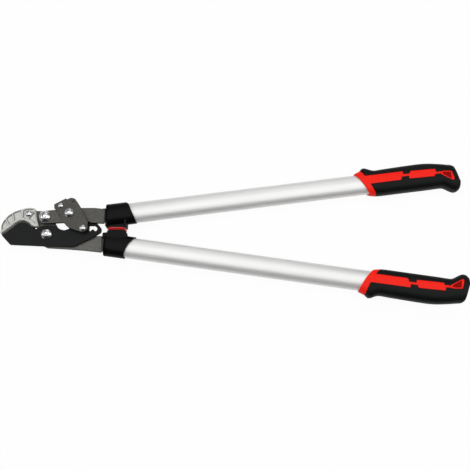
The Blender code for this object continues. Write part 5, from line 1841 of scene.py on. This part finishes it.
@dataclass
class Grip:
    """A grip: a red core that shows as its lip and its inlay, and a black soft sleeve round it.

    Both follow one surface: at each distance along the handle a rounded section runs from the inner
    edge to the outer edge, and leans back near the lip. The columns of the grid follow the inlay's
    two borders, so core and sleeve part exactly on them.
    """

    bench: Bench
    handle: Handle
    middle: float
    stretch: float
    bulge: float
    first: float = 0.3944
    half: float = 0.0150
    power: float = 2.7
    lip: float = 0.0110
    slant: float = 0.53
    fade: float = 0.050
    sink: float = 0.0004
    skin: float = 0.0013
    recess_depth: float = 0.0008
    end: float = 0.1652
    outside: int = 14
    outer: tuple[Point, ...] = mm(
        (0, 18), (11, 21.8), (19, 25.8), (31, 20.2), (48, 20.4), (88, 21.4), (113, 21.2), (133, 18.4),
        (148, 15.3), (155.5, 13.7), (159.4, 11.2), (161.2, 7), (163.2, -3), (165.2, -13),
    )
    inner: tuple[Point, ...] = mm(
        (0, -18.8), (11, -20.8), (30, -21.3), (70, -21.3), (113, -21.3), (129, -21), (139, -21.7),
        (148.5, -27.8), (154, -30.5), (159, -30), (162.6, -27.4), (164.4, -23.8), (165.2, -19),
    )
    thickness: tuple[Point, ...] = (
        (0.000, 0.90), (0.011, 0.95), (0.019, 1.0), (0.080, 1.0), (0.153, 1.0), (0.158, 0.95),
        (0.1625, 0.85), (0.1652, 0.68),
    )
    inlay_high: tuple[Point, ...] = mm(
        (0, 7.2), (75.3, 7.2), (75.5, 1.9), (85.7, 1.9), (87.5, 6.1), (127.8, 4.5), (128, -0.9),
        (135.6, -1.2), (140.5, -0.5), (152.8, -2), (155, -14),
    )
    inlay_low: tuple[Point, ...] = mm(
        (0, -7.2), (70.6, -7.2), (72.8, -1.9), (83.7, -1.9), (83.9, -6.7), (124.5, -7.9), (125.8, -4.6),
        (135.6, -4.6), (135.8, -6.2), (152.6, -18), (155, -16),
    )
    recess: Point = (0.1382, 0.1510)

    def stations(self, first: float) -> Array:
        """Distances of the rows behind a first one, with rows at every corner of the inlay.

        Args:
            first: The first row's distance.

        Returns:
            The distances, none of them within a tenth of a millimetre of the one before.
        """
        end = self.stretch * self.end
        plain = np.concatenate([np.arange(first, 0.150, 0.0022), np.arange(0.150, end, 0.0009)])
        marks = [along_handle for along_handle, _ in (*self.inlay_high[1:], *self.inlay_low[1:])]
        marks += [self.recess[0] - 0.0002, *self.recess, self.recess[1] + 0.0002]
        found = np.unique(np.round(np.concatenate([plain, self.stretch * np.array(marks), [end]]), 6))
        close = np.diff(found, prepend=-1.0) < 0.00012
        return found[~close & (found >= first)]

    def edges(self, distance: Array) -> tuple[Array, Array, Array]:
        """The section's size, from its tables.

        Args:
            distance: Distances along the grip.

        Returns:
            The inner edge, the outer edge and the half thickness at each distance.
        """
        share = distance / self.stretch
        tables = [spline(knots, 8).T for knots in (self.inner, self.outer, self.thickness)]
        inner, outer, thick = (np.interp(share, *table) for table in tables)
        return inner, outer, self.half * thick

    def borders(self, distance: Array) -> tuple[Array, Array]:
        """The inlay's upper and lower border at each distance, stretched along and moved to its middle."""
        share = distance / self.stretch
        high, low = (np.interp(share, *np.array(knots).T) for knots in (self.inlay_high, self.inlay_low))
        return self.middle + high, self.middle + low

    def surface(self, distance: Array, turn: Array, depth: Array) -> Array:
        """Points of the grip in the handle's own frame.

        Args:
            distance: Distance along the handle for each row.
            turn: Angle round the section, as a grid.
            depth: Depth under the surface, as a grid.

        Returns:
            A grid of points as (along, out, up).
        """
        low, high, half = (value[:, None] for value in self.edges(distance))
        out, up = squircle(turn, low + depth, high - depth, half - depth, self.power)
        share = 1 - smoothstep(distance, 0.0, self.fade)[:, None]
        return np.stack([self.first + distance[:, None] + share * self.lean(out), out, up], -1)

    def lean(self, out: Array) -> Array:
        """How far the lip lies along the handle at an out value: a slant, less a bulge in the middle."""
        across = (self.outer[0][1] - out) / (self.outer[0][1] - self.inner[0][1])
        return self.slant * (self.outer[0][1] - out) - 4 * self.bulge * across * (1 - across)

    def turn_at(self, distance: Array, out: Array) -> Array:
        """The angle on the front half at which the section reaches an out value."""
        low, high, _ = self.edges(distance)
        part = np.clip((2 * out - low - high) / (high - low), -0.999, 0.999)
        return np.arccos(signed_power(part, self.power / 2))

    def turns(self, distance: Array, offsets: tuple[float, ...]) -> tuple[Array, Numbers]:
        """Angles round each row, and which part of the row each belongs to.

        The front half runs from the outer edge to the inlay's upper border moved in by each offset in
        turn, across the inlay, and out again on the other side. The back half mirrors it.

        Args:
            distance: Distance of each row.
            offsets: Distances from the border into the inlay, negative outside it.

        Returns:
            The angles as a grid, and for each column the index of its offset, -1 outside and
            len(offsets) on the inlay's inner stretch.
        """
        upper, lower = self.borders(distance)
        tops = [self.turn_at(distance, upper - offset) for offset in offsets]
        bottoms = [self.turn_at(distance, lower + offset) for offset in offsets]
        share = np.linspace(0, 1, self.outside, endpoint=False)
        head = tops[0][:, None] * share[None]
        middle = tops[-1][:, None] + (bottoms[-1] - tops[-1])[:, None] * np.linspace(0, 1, 10)[None, 1:-1]
        tail = math.pi + (bottoms[0] - math.pi)[:, None] * share[None, ::-1]
        front = np.hstack([head, np.stack(tops, 1), middle, np.stack(bottoms[::-1], 1), tail])
        order, beyond = list(range(len(offsets))), [-1] * self.outside
        part = np.array(beyond + order + [len(offsets)] * 8 + order[::-1] + beyond)
        return np.hstack([front, 2 * math.pi - front[:, -2:0:-1]]), np.append(part, part[-2:0:-1])

    def sleeve(self) -> None:
        """The soft sleeve: the surface outside the inlay, given a wall and rolled borders."""
        rows = self.stations(self.lip + GAP)
        turns, part = self.turns(rows, (-0.0005, -0.0002, 0.0))
        roll = np.select([part == 2, part == 1], [0.0003, 0.00006], 0.0)
        depth = np.broadcast_to(roll, turns.shape).copy()
        depth[0] += 0.0003
        grid = self.surface(rows, turns, depth)
        crown = self.crown(grid[-1])
        faces = quads(len(rows) + len(crown), turns.shape[1])
        row, column = np.divmod(np.arange(len(faces)), turns.shape[1])
        on_inlay = (part >= 2)[column] & (part >= 2)[(column + 1) % len(part)]
        beside_inlay = np.append(rows < self.inlay_end(), np.zeros(len(crown), bool))
        kept = faces[~(on_inlay & beside_inlay[row])]
        name = f"{self.handle.prefix}_soft_sleeve"
        piece = new_mesh(name, self.handle.place(np.concatenate([grid, crown])), kept)
        self.face_outwards(piece)
        wall = piece.modifiers.new("wall", "SOLIDIFY")
        wall.thickness = self.skin
        wall.offset = -1
        wall.use_rim = True
        close_up(applied(piece), 50.0, GRIP_MERGE)
        self.bench.fit(piece, self.handle.body, Look.SOFT_GRIP, f"{self.handle.prefix}_grip_sleeve")

    def inlay_end(self) -> float:
        """How far along the grip the inlay runs."""
        return self.stretch * self.inlay_high[-1][0] - 0.0001

    def crown(self, last: Array) -> Array:
        """Rows that close the grip's end in a shallow dome: the last ring drawn towards its middle.

        Args:
            last: The last ring's points.

        Returns:
            A grid of points as (row, column, axis), whose last row is the middle.
        """
        middle, shares = last.mean(axis=0), np.array([0.93, 0.80, 0.60, 0.35, 0.12, 0.0])
        rows = middle + (last - middle)[None] * shares[:, None, None]
        rows[..., 0] += 0.0009 * np.sqrt(1 - shares**2)[:, None]
        return rows

    @staticmethod
    def face_outwards(piece: Piece) -> None:
        """Turns an open skin's faces round where most of them point at the middle plane.

        Args:
            piece: The skin.
        """
        faces = piece.data.polygons
        centres, normals = np.empty((2, len(faces) * 3))
        faces.foreach_get("center", centres)
        faces.foreach_get("normal", normals)
        if np.sum((centres[2::3] - STACK.middle) * normals[2::3]) < 0:
            piece.data.flip_normals()

    def core(self) -> None:
        """The red core: the lip at full size, the inlay just under the surface with its recess in a
        darker red of painted shade, and the rest under the sleeve, closed by the tube's bore."""
        lip = [[0.0, 0.0001, 0.0004, 0.0009], np.linspace(0.0016, self.lip - 0.0006, 6)]
        lip = np.concatenate([*lip, [self.lip - 0.0002, self.lip]])
        rows = np.concatenate([lip, self.stations(self.lip + 0.0001)])
        offsets = (0.0, 0.00012, 0.0002, 0.0006, 0.0017, 0.0018)
        turns, part = self.turns(rows, offsets)
        hidden = self.skin + 0.00015
        levels = {-1: hidden, 0: hidden, 1: self.sink + 0.0004, 2: self.sink + 0.0001}
        under = np.array([levels.get(int(value), self.sink) for value in part])
        depth = np.broadcast_to(under, turns.shape).copy()
        first, last = self.stretch * np.array(self.recess) + [-0.00001, 0.00001]
        deep = (part >= len(offsets) - 1)[None] & ((rows >= first) & (rows <= last))[:, None]
        depth[deep] += self.recess_depth
        depth[rows > self.inlay_end()] = hidden
        depth[: len(lip)] = 0.0
        depth[:4] = np.array([0.0013, 0.0008, 0.0003, 0.0001])[:, None]
        depth[len(lip) - 1] = 0.0003
        grid = self.surface(rows, turns, depth)
        grid[..., 0] = np.minimum(grid[..., 0], self.first + self.stretch * self.end - hidden)
        bore, crown = self.bore(turns[0]), self.crown(grid[-1])
        everything = self.handle.place(np.concatenate([bore, grid, crown]))
        faces = quads(len(everything), turns.shape[1])
        piece = new_mesh(f"{self.handle.prefix}_red_core", everything, faces)
        # painted shade: the recess's faces take the darker red copy of the red plastic
        sunk = np.pad(deep, ((len(bore), len(crown)), (0, 0)))
        dark = sunk & np.roll(sunk, -1, axis=1)
        dark = dark[:-1] & dark[1:]
        piece.data.polygons.foreach_set("material_index", dark.ravel().astype(np.int32))
        close_up(piece, 38.0, GRIP_MERGE)
        looks = [Look.RED_PLASTIC, Look.RED_RECESS]
        self.bench.fit(piece, self.handle.body, looks, f"{self.handle.prefix}_grip_core")

    def bore(self, turn: Array) -> Array:
        """Rings of the tube's seat, from its closed inner end to the lip.

        Args:
            turn: The columns' angles.

        Returns:
            A grid of points as (row, column, axis), in the handle's own frame.
        """
        ring = spokes(turn) * [Tube.half_depth + 0.0002, Tube.half_thickness + 0.0002]
        mouth = self.first + self.lean(ring[:, 0])
        closed = np.column_stack([np.full(len(turn), mouth.mean() + 0.02), ring * 0.0])
        open_rings = [np.column_stack([mouth + shift, ring]) for shift in (0.02, 0.004, 0.0003)]
        return np.stack([closed, *open_rings])

    def build(self) -> None:
        """The core and the sleeve."""
        self.core()
        self.sleeve()


@dataclass
class Spring:
    """The link's torsion spring: one wire that leaves the lever, winds round the pivot and hooks into
    the back link's nose."""

    bench: Bench
    wire: float = 0.0005
    radius: float = 0.0084
    pitch: float = 0.00142
    turns: int = 2
    margin: float = 0.00014
    bend_radius: float = 0.0006
    steps: int = 150

    def build(self) -> None:
        """The coil with its foot, which bends between lever and link, and the leg in the link's nose."""
        pivot, foot, nose = np.array(LINK_PIVOT), np.array(SPRING_FOOT), np.array(SPRING_HOLE)
        to_foot, to_nose = foot - pivot, nose - pivot
        first = math.atan2(to_foot[1], to_foot[0]) + math.acos(self.radius / np.linalg.norm(to_foot))
        last = math.atan2(to_nose[1], to_nose[0]) - math.acos(self.radius / np.linalg.norm(to_nose))
        sweep = (last - first) % (2 * math.pi) + 2 * math.pi * self.turns
        low = STACK.carrier + self.margin + self.wire
        high = low + self.pitch * sweep / (2 * math.pi)
        turn = first + sweep * np.linspace(0, 1, self.steps)
        coil = np.column_stack([pivot + self.radius * spokes(turn), np.linspace(high, low, self.steps)])
        start = self.bend(foot, coil[0, :2], STACK.lever_back + STACK.lever / 2, high)
        end = self.bend(nose, coil[-1, :2], STACK.link_back_back, low)[::-1]
        for name, path, body in (
            ("spring_coil", np.vstack([start, coil]), Body.LEVER_HANDLE),
            ("spring_leg", np.vstack([coil[-2:], end]), Body.LINK),
        ):
            piece = shell(name, tube_along(path, self.wire))
            self.bench.fit(piece, body, Look.SPRING, "link_spring")
            if body is Body.LEVER_HANDLE:
                self.wind(piece)

    def bend(self, corner: Array, towards: Array, top: float, level: float) -> Array:
        """An upright leg from above or below, a quarter bend and a straight run at a level.

        Args:
            corner: The leg's place.
            towards: Where the run leads.
            top: Height of the leg's free end.
            level: Height of the run.

        Returns:
            The path's points, from the free end on.
        """
        reach = np.linalg.norm(towards - corner)
        way, turn = (towards - corner) / reach, quarter_turn(6)[:, None]
        rise = math.copysign(self.bend_radius, top - level)
        curve = [corner + way * self.bend_radius * (1 - np.cos(turn)), level + rise * (1 - np.sin(turn))]
        legs = [[*corner, top], [*corner, (top + level) / 2]]
        straight = [[*(corner + way * reach * share), level] for share in (0.4, 0.7, 0.95)]
        return np.vstack([legs, np.hstack(curve), straight])

    def wind(self, piece: Piece) -> None:
        """Takes the coil off the lever's body and bakes its place into its points.

        Args:
            piece: The coil.
        """
        piece.parent = None
        del piece["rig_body"]
        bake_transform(piece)


@dataclass
class Studio:
    """A pale floor, soft light and the photograph's camera.

    The camera looks at the target from its distance and elevation, and sees the field's width there.
    The floor's white is mirrored in part, glowing for the share that no shadow darkens, and sky is
    the strength of the world's light.
    """

    target: Corner = (0.0023, -0.0039, 0.0150)
    distance: float = 1.10
    elevation: float = 75.6
    field: float = 0.733
    sensor: float = 36.0
    floor_half: float = 4.0
    mirrored: float = 0.38
    glowing: float = 0.95
    sky: float = 0.23

    def build(self) -> None:
        """Floor, world, lamps and camera."""
        self.floor()
        self.world()
        self.lamps()
        self.camera()

    def floor(self) -> None:
        """A wide flat floor just under the lopper."""
        half, level = self.floor_half, -0.0002
        corners = [[-half, -half, level], [half, -half, level], [half, half, level], [-half, half, level]]
        piece = new_mesh("floor", np.array(corners), [[0, 1, 2, 3]])
        piece.data.materials.append(self.backdrop())

    def backdrop(self) -> Material:
        """White where a camera or a reflection sees it, with the object's shadow kept in part.

        Returns:
            The floor's material.
        """
        made = bpy.data.materials.new("white floor")
        wire = emptied(made)
        rays = wire.add("ShaderNodeLightPath").outputs
        seen = wire.math("MAXIMUM", rays["Is Camera Ray"], wire.mul(rays["Is Glossy Ray"], self.mirrored))
        paper = wire.out("ShaderNodeBsdfDiffuse", Color=(0.90, 0.90, 0.90, 1.0))
        glow = wire.out("ShaderNodeEmission", Color=WHITE, Strength=1.0)
        both = wire.out("ShaderNodeMixShader", Fac=wire.mul(seen, self.glowing), input1=paper, input2=glow)
        wire.add("ShaderNodeOutputMaterial", Surface=both)
        return made

    def world(self) -> None:
        """A dim sky, white to the camera. In reflections it is the white studio round the floor, dark
        overhead and in a wedge towards -Y, and darker on the diagonals, so that the screws show
        lobes: near, over and gap are those three falls."""
        world = bpy.data.worlds.new("soft white")
        wire = emptied(world)
        way = wire.add("ShaderNodeTexCoord").outputs["Generated"]
        parts = wire.add("ShaderNodeSeparateXYZ", Vector=way).outputs
        aside, ahead = wire.math("ABSOLUTE", parts["X"]), wire.math("ABSOLUTE", parts["Y"])
        beside = wire.plus(wire.mul(aside, -0.9), wire.mul(parts["Z"], -0.22))
        near = wire.moved(wire.plus(wire.mul(parts["Y"], -1.0), beside), 1.0, 0.0, 0.0, 0.15)
        over = wire.moved(parts["Z"], 0.60, 0.15, 0.75, 0.90)
        gap = wire.moved(wire.mul(aside, ahead), 1.0, 0.3, 0.10, 0.26)
        studio = wire.plus(wire.mul(wire.mul(near, over), gap), 0.04)
        rays = wire.add("ShaderNodeLightPath").outputs
        level = wire.out("ShaderNodeMix", input0=rays["Is Glossy Ray"], input2=self.sky, input3=studio)
        shown = wire.math("MAXIMUM", level, rays["Is Camera Ray"])
        sky = wire.out("ShaderNodeBackground", Color=WHITE, Strength=shown)
        wire.add("ShaderNodeOutputWorld", Surface=sky)
        bpy.context.scene.world = world

    def lamps(self) -> None:
        """Soft boxes to the left, to the right, behind, and a large one overhead."""
        for name, place, size, power in (
            ("left box", (-1.5, 0.1, 1.35), 1.3, 7.5),
            ("right box", (1.5, 0.1, 1.35), 1.3, 7.5),
            ("back box", (0.1, 1.5, 1.25), 1.2, 2.5),
            ("top box", (0.0, 0.10, 2.1), 2.4, 26.0),
        ):
            lamp = bpy.data.lights.new(name, "AREA")
            lamp.size = size
            lamp.energy = power
            holder = linked(name, lamp)
            holder.location = place
            holder.rotation_euler = (-Vector(place)).to_track_quat("-Z", "Y").to_euler()

    def camera(self) -> None:
        """The photograph's view, from the near side and steeply above."""
        rise = math.radians(self.elevation)
        back = Vector((0.0, -math.cos(rise), math.sin(rise)))
        lens = bpy.data.cameras.new("camera")
        lens.sensor_width = self.sensor
        lens.lens = self.sensor * self.distance / self.field
        holder = linked("camera", lens)
        holder.location = Vector(self.target) + back * self.distance
        holder.rotation_euler = (-back).to_track_quat("-Z", "Y").to_euler()
        bpy.context.scene.camera = holder


def main() -> None:
    """Builds every sub-assembly round the frame, then the studio."""
    logging.basicConfig(level=logging.INFO, format="%(name)s: %(message)s")
    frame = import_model()
    bpy.context.scene.view_settings.view_transform = "Standard"
    Studio().build()
    patterns = Patterns()
    materials = {look: look.value.build(patterns) for look in Look}
    bench = Bench(layout_origin(), materials, frame["nodes"])
    Plates(bench).build()
    Anvil(bench).build()
    Fasteners(bench).build()
    Spring(bench).build()
    Bumper(bench).build()
    Collar(
        bench, LOWER, first=-0.0031, skew=0.0015, wall=0.0015, last_outer=0.0307, last_inner=0.0440,
        sweep=1.7, hook=0.0012, rise=0.0,
    ).build()
    Collar(
        bench, UPPER, first=-0.0017, skew=0.0020, wall=0.0010, last_outer=0.0344, last_inner=0.0446,
        sweep=1.0, hook=-0.0026, rise=0.0012,
    ).build()
    Grip(bench, LOWER, middle=-0.00375, stretch=1.008, bulge=0.0025).build()
    Grip(bench, UPPER, middle=0.00295, stretch=0.992, bulge=0.0).build()
    for handle in (LOWER, UPPER):
        Tube(bench, handle).build()
    bench.dress(
        Look.ZINC, "lever_pivot_spacer", "link_pivot_spacer", "stop_spacer",
        "lower_tang_rivet_1", "lower_tang_rivet_2", "upper_tang_rivet_1", "upper_tang_rivet_2",
    )
    bench.dress(Look.BRONZE, "blade_bush", "lever_bush")
    log.info("%d pieces made", len(bench.made))


if __name__ == "__main__":
    main()
